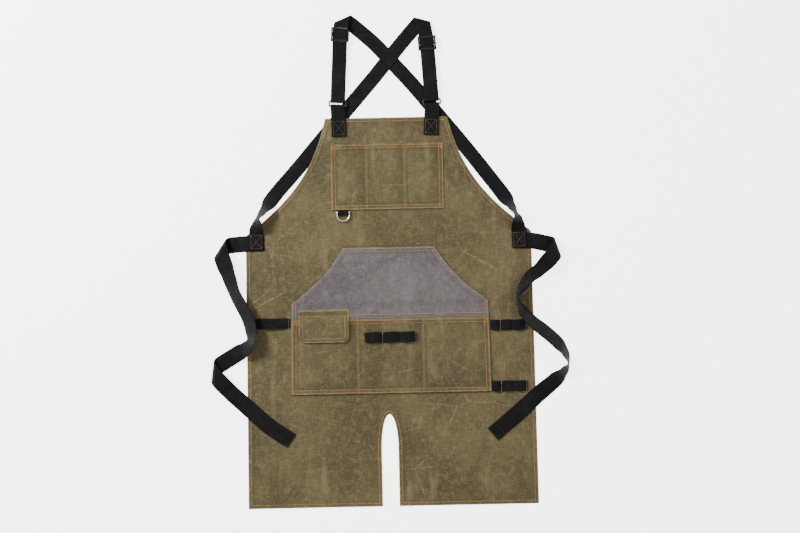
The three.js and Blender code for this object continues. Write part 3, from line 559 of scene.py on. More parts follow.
def panel_grid():
    arch = SLIT_FOOT + SLIT_ARCH * np.sin(np.radians(np.linspace(0, 90, 19)))
    above_arch = SLIT_TOP + HEM_STEPS[1:]
    ys = np.concatenate([HEM_STEPS, np.arange(17, SLIT_FOOT - 2, 5.0), arch, above_arch,
                         np.arange(SLIT_TOP + 16, WAIST_Y - CORNER_CUT - 2, 5.0),
                         [WAIST_Y - CORNER_CUT], armhole[::-1, 1][1:-1:2],
                         [WAIST_Y], LENGTH - HEM_STEPS,
                         [height + near for height, _ in POCKET_STEPS for near in (-2.4, 0, 2.4)]])
    ys = np.unique(np.round(ys, 3))
    half = panel_half(ys)
    lean = np.clip(np.hypot(1, np.gradient(half, ys)), 1, 1.6)[:, None]
    inner = np.maximum(slit_half(ys), 2.0)
    x = np.concatenate([hemmed_columns(-half, SLIT_CENTRE - inner, HEM_STEPS, 44, lean, 1),
                        hemmed_columns(SLIT_CENTRE + inner, half, HEM_STEPS, 44, 1, lean)], 1)
    y = np.broadcast_to(ys[:, None], x.shape).copy()
    keep = np.ones((len(ys) - 1, x.shape[1] - 1), bool)
    keep[ys[:-1] < SLIT_TOP - 0.01, x.shape[1] // 2 - 1] = False
    return x, y, keep


def worn_by_edge(distance, seed, x, y):
    """Wear along a folded edge, in broken patches."""
    return np.clip(1 - distance / 2.6, 0, 1) * (0.55 + 0.45 * ripple(x, y, 9, seed))


def shaded_by_pockets(x, y):
    """Painted shade on the panel in the step along a pocket's level edges."""
    shade = np.zeros_like(x)
    for height, half in POCKET_STEPS:
        shade = np.maximum(shade, np.exp(-((y - height) / 2.4) ** 2) * (np.abs(x) < half))
    return 1.3 * shade


def painted_seam_shade(distance):
    """Painted shade beside a hem's stitches, at the foot of its fold."""
    return np.exp(-((distance - HEM_WIDTH - 1.5) / 3.0) ** 2)


x, y, keep = panel_grid()
edge = edge_distance(x, y)
# Painted shade beside the hem's fold and in the steps along the pockets' level edges.
shade = np.maximum(0.7 * painted_seam_shade(edge), shaded_by_pockets(x, y))
panel = cloth("panel_cloth", x, y, bib_lift(y) + swell(x, y), panel_top(x, y) - bib_lift(y)
              - swell(x, y), OLIVE,
              {"worn": worn_by_edge(edge, 3, x, y), "painted_shade": shade}, keep)
dress(panel, "olive_canvas", "apron", "apron_panel")

# %% [markdown]
# ## Patch pockets
# A patch pocket is flat along its seams and stands off in between, where hands have stretched
# it. Its height is one rule: the distance to the nearest seam, eased upwards, so each divider
# gives a soft valley. The dark line along a pocket's edge comes from its real thickness, and
# from painted shade on the panel in the step. Painted shade also darkens each seam's valley.

# %% Patch pockets
SEAM_HALF = 3.0
PUFF = 20.0


class Pocket:
    """A patch pocket of one cloth: where it lies, how high it stands and its upper face."""

    def __init__(self, node, dividers, hem, foot_half=None):
        self.low, self.high = node_box(node)
        self.dividers = dividers
        self.hem = hem
        self.half = (self.high[0] - self.low[0]) / 2
        self.foot_half = foot_half or self.half
        self.face, self.top = self.low[2], self.high[2] - CLOTH_ROOM

    def half_at(self, y):
        """Half width: a pocket can flare towards its foot."""
        share = (y - self.low[1]) / (self.high[1] - self.low[1])
        return self.foot_half + (self.half - self.foot_half) * share

    def edge_distance(self, x, y):
        side = self.half_at(y) - np.abs(x)
        return np.minimum(side, np.minimum(y - self.low[1], self.high[1] - y))

    def underside(self, x, y):
        rise = ease((self.half_at(y) - np.abs(x) - self.hem) / PUFF)
        rise = np.minimum(rise, ease((y - self.low[1] - self.hem) / PUFF))
        for place in self.dividers:
            rise = np.minimum(rise, ease((np.abs(x - place) - SEAM_HALF) / PUFF))
        buckle = 0.86 + 0.14 * ripple(x, y, 38, 21)
        return self.face + swell(x, y) + (self.top - self.face) * rise * buckle

    def upper(self, x, y):
        hem = folded(POCKET_FOLD, self.edge_distance(x, y) - self.hem + 0.7)
        return self.underside(x, y) + CANVAS_THICK + hem

    def make(self, name, material, seed):
        edges = [self.low[0], *self.dividers, self.high[0]]
        steps = HEM_STEPS * self.hem / HEM_WIDTH
        xs = np.concatenate([np.arange(self.low[0] + 14, self.high[0] - 13, 4.0),
                             self.low[0] + steps, self.high[0] - steps,
                             *[d + np.array([-3, -1, 0, 1, 3]) for d in self.dividers]])
        ys = np.concatenate([np.arange(self.low[1] + 14, self.high[1] - 13, 4.5),
                             self.low[1] + steps, self.high[1] - steps])
        xs, ys = np.unique(np.round(xs, 2)), np.unique(np.round(ys, 2))
        x, y = np.meshgrid(xs, ys)
        x = x * self.half_at(y) / self.half
        low = self.underside(x, y)
        edge = self.edge_distance(x, y)
        seams = np.min([np.abs(x - d) for d in edges], axis=0)
        # Painted shade beside the hem's fold and in the valley just beside each seam and divider.
        values = {"worn": worn_by_edge(edge, seed, x, y) + 0.12 * np.exp(-(seams / 2.0) ** 2),
                  "painted_shade": np.maximum(painted_seam_shade(edge), np.exp(-((seams - 5) / 3.0) ** 2))}
        return cloth(name, x, y, low, self.upper(x, y) - low, material, values)


def finish_pocket(piece, node, slot):
    dress(piece, slot, "apron", node)


CHEST_DIVIDERS = (-48.7, 41.0)
LOWER_DIVIDERS = (-77.0, 77.0)
chest = Pocket("chest_pocket", CHEST_DIVIDERS, 10.0)
chest_piece = chest.make("chest_pocket_cloth", OLIVE, 31)
finish_pocket(chest_piece, "chest_pocket", "olive_canvas")
lower = Pocket("lower_pocket", LOWER_DIVIDERS, 10.0)
POCKET_HALF, POCKET_FOOT_HALF = 231.0, 235.0
lower.half, lower.foot_half = POCKET_HALF, POCKET_FOOT_HALF
lower.low[0], lower.high[0] = -lower.half, lower.half
lower_piece = lower.make("lower_pocket_cloth", OLIVE, 37)
finish_pocket(lower_piece, "lower_pocket", "olive_canvas")

# %% The grey hand pocket
HAND_TOP_HALF, HAND_CORNER, HAND_FLAT_TO = 108.0, 480.0, 466.0


class HandPocket(Pocket):
    """The grey pocket: hands go in past its two curved edges."""

    def __init__(self):
        super().__init__("hand_pocket", (), 9.0)
        self.opening = curve_between((HAND_TOP_HALF, self.high[1]), (0.179, 0.316),
                                     (0.504, 0.689), (POCKET_HALF, HAND_CORNER), 40)

    def half_at(self, y):
        y = np.asarray(y, float)
        narrowing = (POCKET_FOOT_HALF - POCKET_HALF) / (HAND_CORNER - self.low[1])
        side = POCKET_FOOT_HALF - narrowing * (y - self.low[1])
        curve = np.interp(y, self.opening[::-1, 1], self.opening[::-1, 0])
        return np.where(y > HAND_CORNER, curve, side)

    def edge_distance(self, x, y):
        lean = np.hypot(1, self.half_at(y + 0.5) - self.half_at(y - 0.5))
        side = (self.half_at(y) - np.abs(x)) / lean
        return np.minimum(side, self.high[1] - y)

    def underside(self, x, y):
        rise = np.minimum(ease((y - HAND_FLAT_TO) / PUFF), ease((self.high[1] - 10 - y) / PUFF))
        corner = ease(np.maximum((self.half_at(y) - np.abs(x)) / PUFF, (y - HAND_CORNER) / PUFF))
        rise = rise * corner * (0.8 + 0.2 * ripple(x, y, 45, 51))
        return self.face + swell(x, y) + (self.top - self.face) * rise

    def make(self, name, material, seed):
        ys = np.concatenate([np.arange(self.low[1], 425, 20.0), np.arange(430, HAND_CORNER, 5.0),
                             self.opening[::-1, 1][:-1], self.high[1] - HEM_STEPS,
                             lower.high[1] + np.array([0.5, 2.0, 3.5, 5.5])])
        ys = np.unique(np.round(ys, 2))
        half = self.half_at(ys)
        lean = np.clip(np.hypot(1, np.gradient(half, ys)), 1, 1.7)[:, None]
        x = hemmed_columns(-half, half, HEM_STEPS, 92, lean, lean)
        y = np.broadcast_to(ys[:, None], x.shape).copy()
        low = self.underside(x, y)
        edge = self.edge_distance(x, y)
        # Painted shade: a dark line on the grey cloth just above the lower pocket's mouth.
        mouth = 1.3 * np.exp(-((y - lower.high[1] - 2) / 2.2) ** 2)
        values = {"worn": worn_by_edge(edge, seed, x, y),
                  "painted_shade": np.maximum(painted_seam_shade(edge), mouth)}
        return cloth(name, x, y, low, self.upper(x, y) - low, material, values)


hand = HandPocket()
hand_piece = hand.make("hand_pocket_cloth", GREY, 41)
finish_pocket(hand_piece, "hand_pocket", "grey_canvas")

# %% [markdown]
# ## The flap
# The flap is one cloth: its upper strip is sewn to the grey pocket and the rest lifts. Two
# solids stand for it, one on each side of the line where it turns. Here it is a single sheet
# that bends across that line.

# %% The flap
heading_low, heading_high = node_box("flap_heading")
flap_low, flap_high = node_box("pocket_flap")
FLAP_X = (flap_low[0], flap_high[0])
FLAP_TURN = (heading_low[1] + flap_high[1]) / 2
FLAP_ROUND = 15.0
FLAP_HEM = 8.0
flap_rise = flap_high[2] - CLOTH_ROOM - heading_low[2]


def flap_side(y):
    """The flap's left and right edge, which curve in at its lower corners."""
    down = np.clip((y - flap_low[1]) / FLAP_ROUND, 0, 1)
    inset = FLAP_ROUND * (1 - np.sqrt(1 - (1 - down) ** 2))
    return FLAP_X[0] + inset, FLAP_X[1] - inset


def flap_under(x, y):
    climb = ease((FLAP_TURN - 1 - y) / 16.0)
    return heading_low[2] + swell(x, y) + flap_rise * climb


def flap_edge_distance(x, y):
    left, right = flap_side(y)
    return np.min(np.broadcast_arrays(x - left, right - x, y - flap_low[1],
                                      heading_high[1] - y), axis=0)


def flap_upper(x, y):
    hem = folded(FLAP_FOLD, flap_edge_distance(x, y) - FLAP_HEM)
    return flap_under(x, y) + CANVAS_THICK + hem


turn_rows = FLAP_TURN + np.array([-16, -12, -8, -5, -3, -2, -1.3, -0.7, 0, 0.7, 1.3, 2, 3])
corner_rows = flap_low[1] + FLAP_ROUND * (1 - np.cos(np.radians(np.linspace(0, 90, 12))))
ys = np.unique(np.round(np.concatenate([corner_rows, np.arange(406, 434, 3.0), turn_rows,
                                        [heading_high[1] - s for s in (0, 0.8, 3, 8, 9)]]), 2))
x = hemmed_columns(*flap_side(ys), np.array([0, 0.8, 3, 6, 8, 9.5, 12]), 28)
y = np.broadcast_to(ys[:, None], x.shape).copy()
edge = flap_edge_distance(x, y)
low = flap_under(x, y)
# Painted shade, half strength, just inward of the flap's hem.
flap_look = {"worn": 1.2 * worn_by_edge(edge, 5, x, y), "painted_shade": 0.5 * painted_seam_shade(edge)}
flap_piece = cloth("flap_cloth", x, y, low, flap_upper(x, y) - low, OLIVE, flap_look)
dress(flap_piece, "olive_canvas", None, "flap_heading", "pocket_flap")
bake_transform(flap_piece)

# %% [markdown]
# ## Webbing
# All straps, ties, tabs and loops are one kind of thing: a ribbon. A ribbon is a list of rows,
# each with its left and right edge, so it can lie flat, roll onto its edge or fold over. The
# section across a row is thick in the middle and rounded at the selvedges, and every point
# knows how far along the ribbon it is, for the weave and for the stitches sewn on it.

# %% Ribbons
STRAP_THICK, LOOP_THICK = 1.6, 1.4
SHOULDER_WIDTH, TIE_WIDTH, LOOP_WIDTH = 34.0, 38.0, 25.0
ACROSS = np.array([-1, -0.985, -0.94, -0.6, 0, 0.6, 0.94, 0.985, 1])
FULLNESS = np.array([0.3, 0.66, 0.95, 1, 1, 1, 0.95, 0.66, 0.3])


def apart(rows, middle, least):
    """The rows without those that repeat the one before."""
    step = np.linalg.norm(np.diff(middle, axis=0), axis=1)
    return rows[np.concatenate([[True], step > least])]


class Ribbon:
    def __init__(self, rows, thick):
        rows = np.asarray(rows, float)
        self.rows = apart(rows, rows.mean(1), 0.05)
        self.thick = thick
        middle = self.rows.mean(1)
        along = np.gradient(middle, axis=0)
        across = self.rows[:, 1] - self.rows[:, 0]
        normal = np.cross(across, along)
        self.normal = normal / np.linalg.norm(normal, axis=1)[:, None]
        self.run = np.concatenate([[0], np.cumsum(np.linalg.norm(np.diff(middle, axis=0), axis=1))])
        self.width = np.linalg.norm(across, axis=1)

    def point(self, run, side, lift=0.0):
        """A point on the ribbon's upper face: run along it, side from -1 to 1, lift off it."""
        share = (np.asarray(side, float) + 1) / 2
        def read(values):
            return np.stack([np.interp(run, self.run, values[:, k]) for k in range(3)], -1)
        left, right, normal = read(self.rows[:, 0]), read(self.rows[:, 1]), read(self.normal)
        share = np.broadcast_to(share, left.shape[:-1])[..., None]
        up = np.where(normal[..., 2:] < 0, -1, 1)
        return left * (1 - share) + right * share + up * normal * (self.thick / 2 + lift)

    def make(self, name, node, held="laid"):
        share = (ACROSS + 1) / 2
        shares = share[None, :, None]
        middle = self.rows[:, :1] * (1 - shares) + self.rows[:, 1:] * shares
        half = self.normal[:, None] * (self.thick / 2) * FULLNESS[None, :, None]
        points = np.concatenate([(middle - half).reshape(-1, 3), (middle + half).reshape(-1, 3)])
        u = (self.width[:, None] * share[None]) * MM
        v = np.broadcast_to(self.run[:, None] * MM, u.shape)
        uv = np.tile(np.stack([u, v], -1).reshape(-1, 2), (2, 1))
        rows, columns = len(self.rows), len(ACROSS)
        faces = grid_faces(rows, columns, np.ones((rows - 1, columns - 1), bool))
        piece = mesh_object(name, points, faces, WEBBING, uv=uv, smooth_angle=75)
        dress(piece, "webbing", "apron", node)
        print(name, "length mm:", round(self.run[-1]), "faces:", len(faces))


def arc(centre, radius, start, end, steps):
    """Points [run, height] round part of a circle, in degrees."""
    a = np.radians(np.linspace(start, end, steps + 1))
    return np.stack([centre[0] + radius * np.cos(a), centre[1] + radius * np.sin(a)], 1)


def densified(profile, step=2.5):
    """The same profile with points no further apart than step."""
    profile = np.asarray(profile, float)
    out = [profile[:1]]
    for a, b in zip(profile[:-1], profile[1:]):
        count = max(1, int(np.linalg.norm(b - a) / step))
        out.append(a + (b - a) * np.linspace(0, 1, count + 1)[1:, None])
    return np.concatenate(out)


# %% Tool loops
def tool_loop(name, node, tacks):
    """Webbing tacked down at places along X, bulging up between them over the skirt."""
    low, high = node_box(node)
    crown = high[2] - LOOP_THICK / 2
    base = low[2] + LOOP_THICK / 2
    xs = np.arange(low[0], high[0] + 0.01, 0.8)
    gap = np.zeros_like(xs)
    for a, b in zip(tacks[:-1], tacks[1:]):
        inside = (xs > a) & (xs < b)
        gap[inside] = np.sin(np.pi * (xs[inside] - a) / (b - a)) ** 0.55
    z = base + (crown - base) * gap + swell(xs, (low[1] + high[1]) / 2)
    pinch = 1.2 * (1 - gap)
    wave = 0.5 * np.sin(xs / 7.0)
    rows = np.stack([np.stack([xs, high[1] - pinch + wave, z], 1),
                     np.stack([xs, low[1] + pinch + wave, z], 1)], 1)
    ribbon = Ribbon(rows, LOOP_THICK)
    ribbon.make(name, node)
    return ribbon, [t - low[0] for t in tacks]


lower_side = lower.foot_half + 0.3
side_tacks = [lower_side + 3, 258, 286, 317]
loops = {
    "centre_loops_webbing": ("centre_tool_loops", [-57.6, -18.2, 22.3, 58.8]),
    "hammer_loop_webbing": ("left_hammer_loop", [-321, -lower_side - 4]),
    "upper_side_loops_webbing": ("right_upper_tool_loops", side_tacks),
    "lower_side_loops_webbing": ("right_lower_tool_loops", side_tacks),
}
loop_ribbons = {name: tool_loop(name, node, tacks) for name, (node, tacks) in loops.items()}

# %% Paths of the straps and ties
def at(x, y, base=0.0, roll=0.0):
    """A place on a strap's middle line; base is its lowest side, roll lifts its left edge."""
    return (x, y, base, roll)


def path_points(stations, step):
    """Points, directions and blends along a smooth line through the stations."""
    p, lean = np.array(stations, float)[:, :2], np.array(stations, float)[:, 2:]
    p = np.concatenate([[2 * p[0] - p[1]], p, [2 * p[-1] - p[-2]]])
    found = []
    for i in range(len(stations) - 1):
        q = p[i:i + 4]
        d = np.sqrt(np.linalg.norm(np.diff(q, axis=0), axis=1))
        t1 = ((q[1] - q[0]) / d[0] - (q[2] - q[0]) / (d[0] + d[1]) + (q[2] - q[1]) / d[1]) * d[1]
        t2 = ((q[2] - q[1]) / d[1] - (q[3] - q[1]) / (d[1] + d[2]) + (q[3] - q[2]) / d[2]) * d[1]
        bend, twist = 3 * (q[2] - q[1]) - 2 * t1 - t2, 2 * (q[1] - q[2]) + t1 + t2
        count = max(2, round(np.linalg.norm(q[2] - q[1]) / step))
        last = i == len(stations) - 2
        for k in range(count + (1 if last else 0)):
            s = k / count
            place = q[1] + s * (t1 + s * (bend + s * twist))
            heading = t1 + s * (2 * bend + 3 * s * twist)
            base, roll = lean[i] + (lean[i + 1] - lean[i]) * float(ease(s))
            found.append((place, heading / np.linalg.norm(heading), base, math.radians(roll)))
    return found


def ground_under(x, y):
    """How far the panel's swell lifts what lies on it; nothing past its edge."""
    inside = ease((panel_half(np.clip(y, 1, LENGTH - 1)) - abs(x) + 8) / 24)
    return float(inside * swell(x, y) * ease((LENGTH - y) / 30) * ease((WAIST_Y + 20 - y) / 40))


def leg(stations, width, step=4.0):
    rows = []
    for place, heading, base, roll in path_points(stations, step):
        half = np.array([-heading[1] * math.cos(roll), heading[0] * math.cos(roll), math.sin(roll)])
        half *= width / 2
        height = base + abs(half[2]) + STRAP_THICK / 2 * math.cos(roll)
        middle = np.array([*place, height + ground_under(*place)])
        rows.append((middle + half, middle - half))
    return rows


def turned_over(rows):
    """The same rows seen from the other face, for webbing that a fold has turned over."""
    return [(right, left) for left, right in rows]


FOLD_LEAD = 3.0


def fold(before, turn, after, radius, side, base_in, width):
    """A soft diagonal fold where the line turns; side 1 comes out on top, -1 underneath."""
    turn = np.array(turn[:2], float)
    start = turn - np.array(before[:2])
    onto = np.array(after[:2]) - turn
    start, onto = start / np.linalg.norm(start), onto / np.linalg.norm(onto)
    crease = (start + onto) / np.linalg.norm(start + onto)
    outward = (start - onto) / np.linalg.norm(start - onto)
    sine, cotangent = start @ outward, (start @ crease) / (start @ outward)
    hand = np.sign(outward[0] * crease[1] - outward[1] * crease[0])
    wrap = math.pi * radius / 2
    middle = turn - outward * wrap
    lift = ground_under(*turn)
    rows = []
    for run in [-wrap - FOLD_LEAD, *(wrap * np.linspace(-1, 1, 15)), wrap + FOLD_LEAD]:
        angle = np.clip((run + wrap) / (2 * wrap), 0, 1) * math.pi
        out = radius * math.sin(angle) - max(abs(run) - wrap, 0)
        height = base_in + STRAP_THICK / 2 + side * radius * (1 - math.cos(angle)) + lift
        edges = []
        for v in (width / 2, -width / 2):
            plan = middle + crease * (run * cotangent + hand * v / sine) + outward * out
            edges.append(np.array([*plan, height]))
        rows.append(edges)
    reach = (wrap + 2 * FOLD_LEAD) / sine + width / 2 * abs(cotangent)
    entry = at(*(turn - start * reach), base_in)
    exit_ = at(*(turn + onto * reach), base_in + side * 2 * radius)
    return rows, entry, exit_


# %% [markdown]
# ## Shoulder straps
# Each strap starts under its slider, goes down round the ring and back up through the slider,
# folds over at the top, crosses behind the neck and runs under the bib to the far side corner,
# where it rolls on edge before it is sewn down. Its route repeats the solid's, from the sizes
# of the panel, because cloth and solid have to lie in the same place.

# %% Shoulder straps
GAP = 0.3
SKIRT_FACE = 1.5
LOW_LAYER = GAP + 1.5 * STRAP_THICK
RING_BAR, RING_SPAN = 3.6, 9.0
HIGH_LAYER = LOW_LAYER + STRAP_THICK + RING_BAR + 2 * GAP
RING_HEIGHT = (LOW_LAYER + HIGH_LAYER) / 2
WRAP_RADIUS = (HIGH_LAYER - LOW_LAYER) / 2
WRAP_SHIFT = 1.2
BIB_FACE = BIB_LIFT + CLOTH_ROOM + GAP
RING_Y = LENGTH + 34.0
STUB_X = BIB_HALF - 35.0
SLIDER_LENGTH = 33.0
PATCH_FACE = SKIRT_FACE + STRAP_THICK + GAP


class Lane:
    """The straight line that a front strap follows, from its ring up through its slider."""

    def __init__(self, start, end):
        self.start, self.end = np.array(start, float), np.array(end, float)
        self.run = np.linalg.norm(self.end - self.start)
        self.along = (self.end - self.start) / self.run
        self.right = np.array([self.along[1], -self.along[0]])

    def point(self, run, side=0.0, height=0.0):
        plan = self.start + self.along * run + self.right * side
        return np.array([plan[0], plan[1], height])

    def rows(self, profile, width=SHOULDER_WIDTH):
        return [(self.point(run, -width / 2, height), self.point(run, width / 2, height))
                for run, height in densified(profile)]


def beside(side, rise, out, base=0.0, roll=0.0):
    """A place this high above the side corners, and this far out from the armhole's edge."""
    return at(side * (float(panel_half(WAIST_Y + rise)) + out), WAIST_Y + rise, base, roll)


crossing = np.array([9.3, LENGTH + 137.6])
crossing_way = np.array([-0.64, -0.77])
hump = [at(*(crossing + crossing_way * run), base)
        for run, base in ((-48, 0), (-26, STRAP_THICK + GAP), (26, STRAP_THICK + GAP), (48, 0))]
W, H = WAIST_HALF, WAIST_Y
PATCH_Y = LENGTH - 2 - 41.0
SIDES = {
    "left": {
        "wear": 1.0,
        "patch": Lane((-STUB_X - 2.6, PATCH_Y), (-STUB_X - 4, RING_Y)),
        "lane": Lane((-STUB_X - 4, RING_Y), (-103.6, LENGTH + 196)),
        "turn": at(-97.5, LENGTH + 235), "after": at(-61.5, LENGTH + 210.5),
        "back": [at(-23.5, LENGTH + 173.6), at(*crossing), at(62.7, LENGTH + 77.8),
                 at(127, LENGTH - 1), beside(1, 188, 22.1), beside(1, 116.4, 36.8),
                 beside(1, 80, 34), beside(1, 54, 25, 0.8, -52), beside(1, 37, 15.2, 1.8, -70),
                 beside(1, 23, 3.5, 2.8, -46), beside(1, 8, -14.7, PATCH_FACE, -16),
                 at(W - 29, H - 6, PATCH_FACE), at(W - 28, H - 44, PATCH_FACE)],
    },
    "right": {
        "wear": 0.5,
        "patch": Lane((STUB_X - 4.4, PATCH_Y), (STUB_X, RING_Y)),
        "lane": Lane((STUB_X, RING_Y), (99.6, LENGTH + 172)),
        "turn": at(89.5, LENGTH + 230), "after": at(44.9, LENGTH + 181.6),
        "back": [*hump, at(-63.6, LENGTH + 52.2), at(-120, LENGTH - 12), beside(-1, 144, 26.1),
                 beside(-1, 103, 34.9), beside(-1, 80, 34), beside(-1, 54, 27, 0.8, 54),
                 beside(-1, 38, 21.4, 1.8, 70), beside(-1, 24, 7.7, 2.8, 46),
                 beside(-1, 10, -7.1, PATCH_FACE, 16), at(-W + 25, H - 2, PATCH_FACE),
                 at(-W + 25, H - 38, PATCH_FACE)],
    },
}


def shoulder_rows(side):
    lane = side["lane"]
    ring_half = (RING_SPAN + RING_BAR) / 2
    bend = arc((ring_half - WRAP_SHIFT, RING_HEIGHT), WRAP_RADIUS, 270, 90, 14)
    front = [(lane.run + SLIDER_LENGTH / 2 - 4, LOW_LAYER), *bend,
             (lane.run + SLIDER_LENGTH / 3 - 1, HIGH_LAYER)]
    leaving = lane.point(lane.run + SLIDER_LENGTH / 3)
    high_base = HIGH_LAYER - STRAP_THICK / 2
    crease, _, exit_ = fold(leaving, side["turn"], side["after"], high_base / 2, -1, high_base,
                            SHOULDER_WIDTH)
    return lane.rows(front) + crease + turned_over(leg([exit_, *side["back"]], SHOULDER_WIDTH))


def stub_rows(side):
    """The stub runs up from its patch, round the ring's lower bar, and back down."""
    lane, patch = side["lane"], side["patch"]
    ring_half = (RING_SPAN + RING_BAR) / 2
    leaving = LENGTH + 2 - PATCH_Y
    under = BIB_FACE + STRAP_THICK / 2
    over = under + STRAP_THICK + GAP
    bend = arc((WRAP_SHIFT - ring_half, RING_HEIGHT), WRAP_RADIUS, -90, 90, 14)
    bar_edge = -ring_half - RING_BAR / 2
    return (patch.rows([(0, under), (leaving, under)])
            + lane.rows([(bar_edge, LOW_LAYER), *bend, (bar_edge, HIGH_LAYER)])
            + patch.rows([(leaving, over), (0, over)]))


shoulder_straps, stubs = {}, {}
for name, side in SIDES.items():
    shoulder_straps[name] = Ribbon(shoulder_rows(side), STRAP_THICK)
    shoulder_straps[name].make(f"{name}_strap_webbing", f"{name}_shoulder_strap", held="folded")
    stubs[name] = Ribbon(stub_rows(side), STRAP_THICK)
    stubs[name].make(f"{name}_stub_webbing", f"{name}_ring_stub", held="folded")

# %% [markdown]
# ## Waist ties
# The ties come out from under the sewn strap ends and wander down beside the skirt. They turn
# by folding over, and elsewhere they lean on one edge, which is what stiff webbing does.

# %% Waist ties
TIE_FOLD = 10.0


def from_corner(sign, *places):
    """Stations from places [x, y, base, roll] counted from one side corner of the panel."""
    return [at(sign * W + x, H + y, *lift) for x, y, *lift in places]


def tie_fold(sign, *places):
    return fold(*from_corner(sign, *places), TIE_FOLD, 1, 0, TIE_WIDTH)


def left_tie_rows():
    first, in_1, out_1 = tie_fold(-1, (-15, -23), (-63, -27), (-48, -72))
    second, in_2, out_2 = tie_fold(-1, (-20, -276), (-88, -318), (-60, -348))
    upper = [*from_corner(-1, (43, -21, SKIRT_FACE), (-6, -22.5, SKIRT_FACE)), in_1]
    middle = [out_1, *from_corner(-1, (-40, -97, 9, 26), (-27, -138, 1, 40), (-13, -166, 1.6, 36),
                                  (2, -196, 1.8, 34), (9, -226, 1.8, 40), (9, -249, 1.8, 56),
                                  (-4, -267, 1.2, 34), (-22, -278, 0.4, 6)), in_2]
    foot = [out_2, *from_corner(-1, (-41, -369, 13), (-12, -398, 5), (12, -421, SKIRT_FACE),
                                (51, -455, SKIRT_FACE), (98, -487, SKIRT_FACE))]
    return (leg(upper, TIE_WIDTH) + first + turned_over(leg(middle, TIE_WIDTH) + second)
            + leg(foot, TIE_WIDTH))


def right_tie_rows():
    first, in_1, out_1 = tie_fold(1, (0, -27.5), (66, -42), (36, -78))
    upper = [*from_corner(1, (-43, -25, SKIRT_FACE), (5, -28.6, SKIRT_FACE)), in_1]
    foot = [out_1, *from_corner(1, (15, -97, 9, -30), (-6, -113, 1.8, -38), (-22, -134, 1.6, -48),
                                (-33, -150, 1.6, -66), (-36, -163, 1.6, -78),
                                (-32, -176, 1.6, -66), (-22, -194, 1.6, -46), (-2, -217, 1.6, -40),
                                (25, -239, 1.2, -36), (56, -267.5, 0, -38), (73, -291, 0, -58),
                                (80, -316, 0, -78), (70, -334, 0, -52), (49, -356, 0, -14),
                                (15, -384, SKIRT_FACE), (-32, -425.5, SKIRT_FACE),
                                (-99, -481, SKIRT_FACE))]
    return leg(upper, TIE_WIDTH) + first + turned_over(leg(foot, TIE_WIDTH))


ties = {}
for name, rows in (("left", left_tie_rows()), ("right", right_tie_rows())):
    ties[name] = tie = Ribbon(rows, STRAP_THICK)
    tie.make(f"{name}_tie_webbing", f"{name}_waist_tie", held="folded")

# %% [markdown]
# ## Rings, sliders and the D-ring
# Hardware is made by sweeping a small rounded section round a path, as bent wire and moulded
# bars look. The slider is three bars between two rails; a bevel gives its edges, and the edges
# that stick up carry a value that the enamel reads to wear through to metal.

# %% Bars swept round closed paths
def swept_ring(name, path, section, material, body, node, slot_name, height):
    """A closed path in plan with a section [out, up] swept along it, at a height."""
    path = np.asarray(path, float)
    ahead = np.roll(path, -1, axis=0) - np.roll(path, 1, axis=0)
    ahead /= np.linalg.norm(ahead, axis=1)[:, None]
    out = np.stack([ahead[:, 1], -ahead[:, 0]], 1)
    points = []
    for p, n in zip(path, out):
        for side, up in section:
            points.append((*(p + n * side), height + up))
    count, ring = len(path), len(section)
    faces = [(i * ring + k, (i + 1) % count * ring + k, (i + 1) % count * ring + (k + 1) % ring,
              i * ring + (k + 1) % ring) for i in range(count) for k in range(ring)]
    piece = mesh_object(name, np.array(points), np.array(faces), material)
    dress(piece, slot_name, body, node)


def oval_section(half_out, half_up, power, steps):
    """A section between a circle (power 1) and a square (power near 0)."""
    a = np.linspace(0, 2 * math.pi, steps, endpoint=False)
    def shaped(value):
        return np.sign(value) * np.abs(value) ** power
    return np.stack([half_out * shaped(np.cos(a)), half_up * shaped(np.sin(a))], 1)


def rounded_rectangle(half_width, half_height, radius, steps=8):
    points = []
    for cx, cy, start in ((1, -1, -90), (1, 1, 0), (-1, 1, 90), (-1, -1, 180)):
        centre = (cx * (half_width - radius), cy * (half_height - radius))
        points.extend(arc(centre, radius, start, start + 90, steps))
    return np.array(points)


for name, side in SIDES.items():
    lane = side["lane"]
    half = (SHOULDER_WIDTH / 2 + 1 + RING_BAR / 2, RING_SPAN / 2 + RING_BAR / 2)
    outline = rounded_rectangle(*half, 3.2)
    outline = lane.start + outline[:, :1] * lane.right + outline[:, 1:] * lane.along
    swept_ring(f"{name}_ring_moulding", outline, oval_section(RING_BAR / 2, RING_BAR / 2, 0.6, 16),
               PLASTIC, "apron", f"{name}_strap_ring", "buckle_plastic", RING_HEIGHT)

D_BAR = 3.4
d_low, d_high = node_box("d_ring")
D_HALF = (d_high[0] - d_low[0]) / 2 - D_BAR / 2
D_CENTRE = (d_high[0] + d_low[0]) / 2
D_TOP = d_high[1] - D_BAR / 2
D_HEIGHT = (d_low[2] + d_high[2]) / 2
D_BOW = d_high[1] - d_low[1] - D_BAR - D_HALF
D_CORNER = 1.6
bow = arc((D_CENTRE, D_TOP - D_BOW), D_HALF, 180, 360, 40)
corners = [*arc((D_CENTRE + D_HALF - D_CORNER, D_TOP - D_CORNER), D_CORNER, 0, 90, 6),
           *arc((D_CENTRE - D_HALF + D_CORNER, D_TOP - D_CORNER), D_CORNER, 90, 180, 6)]
swept_ring("d_ring_wire", [*bow, *corners], oval_section(D_BAR / 2, D_BAR / 2, 1.0, 16), NICKEL,
           "ring", "d_ring", "nickel_plate", D_HEIGHT)

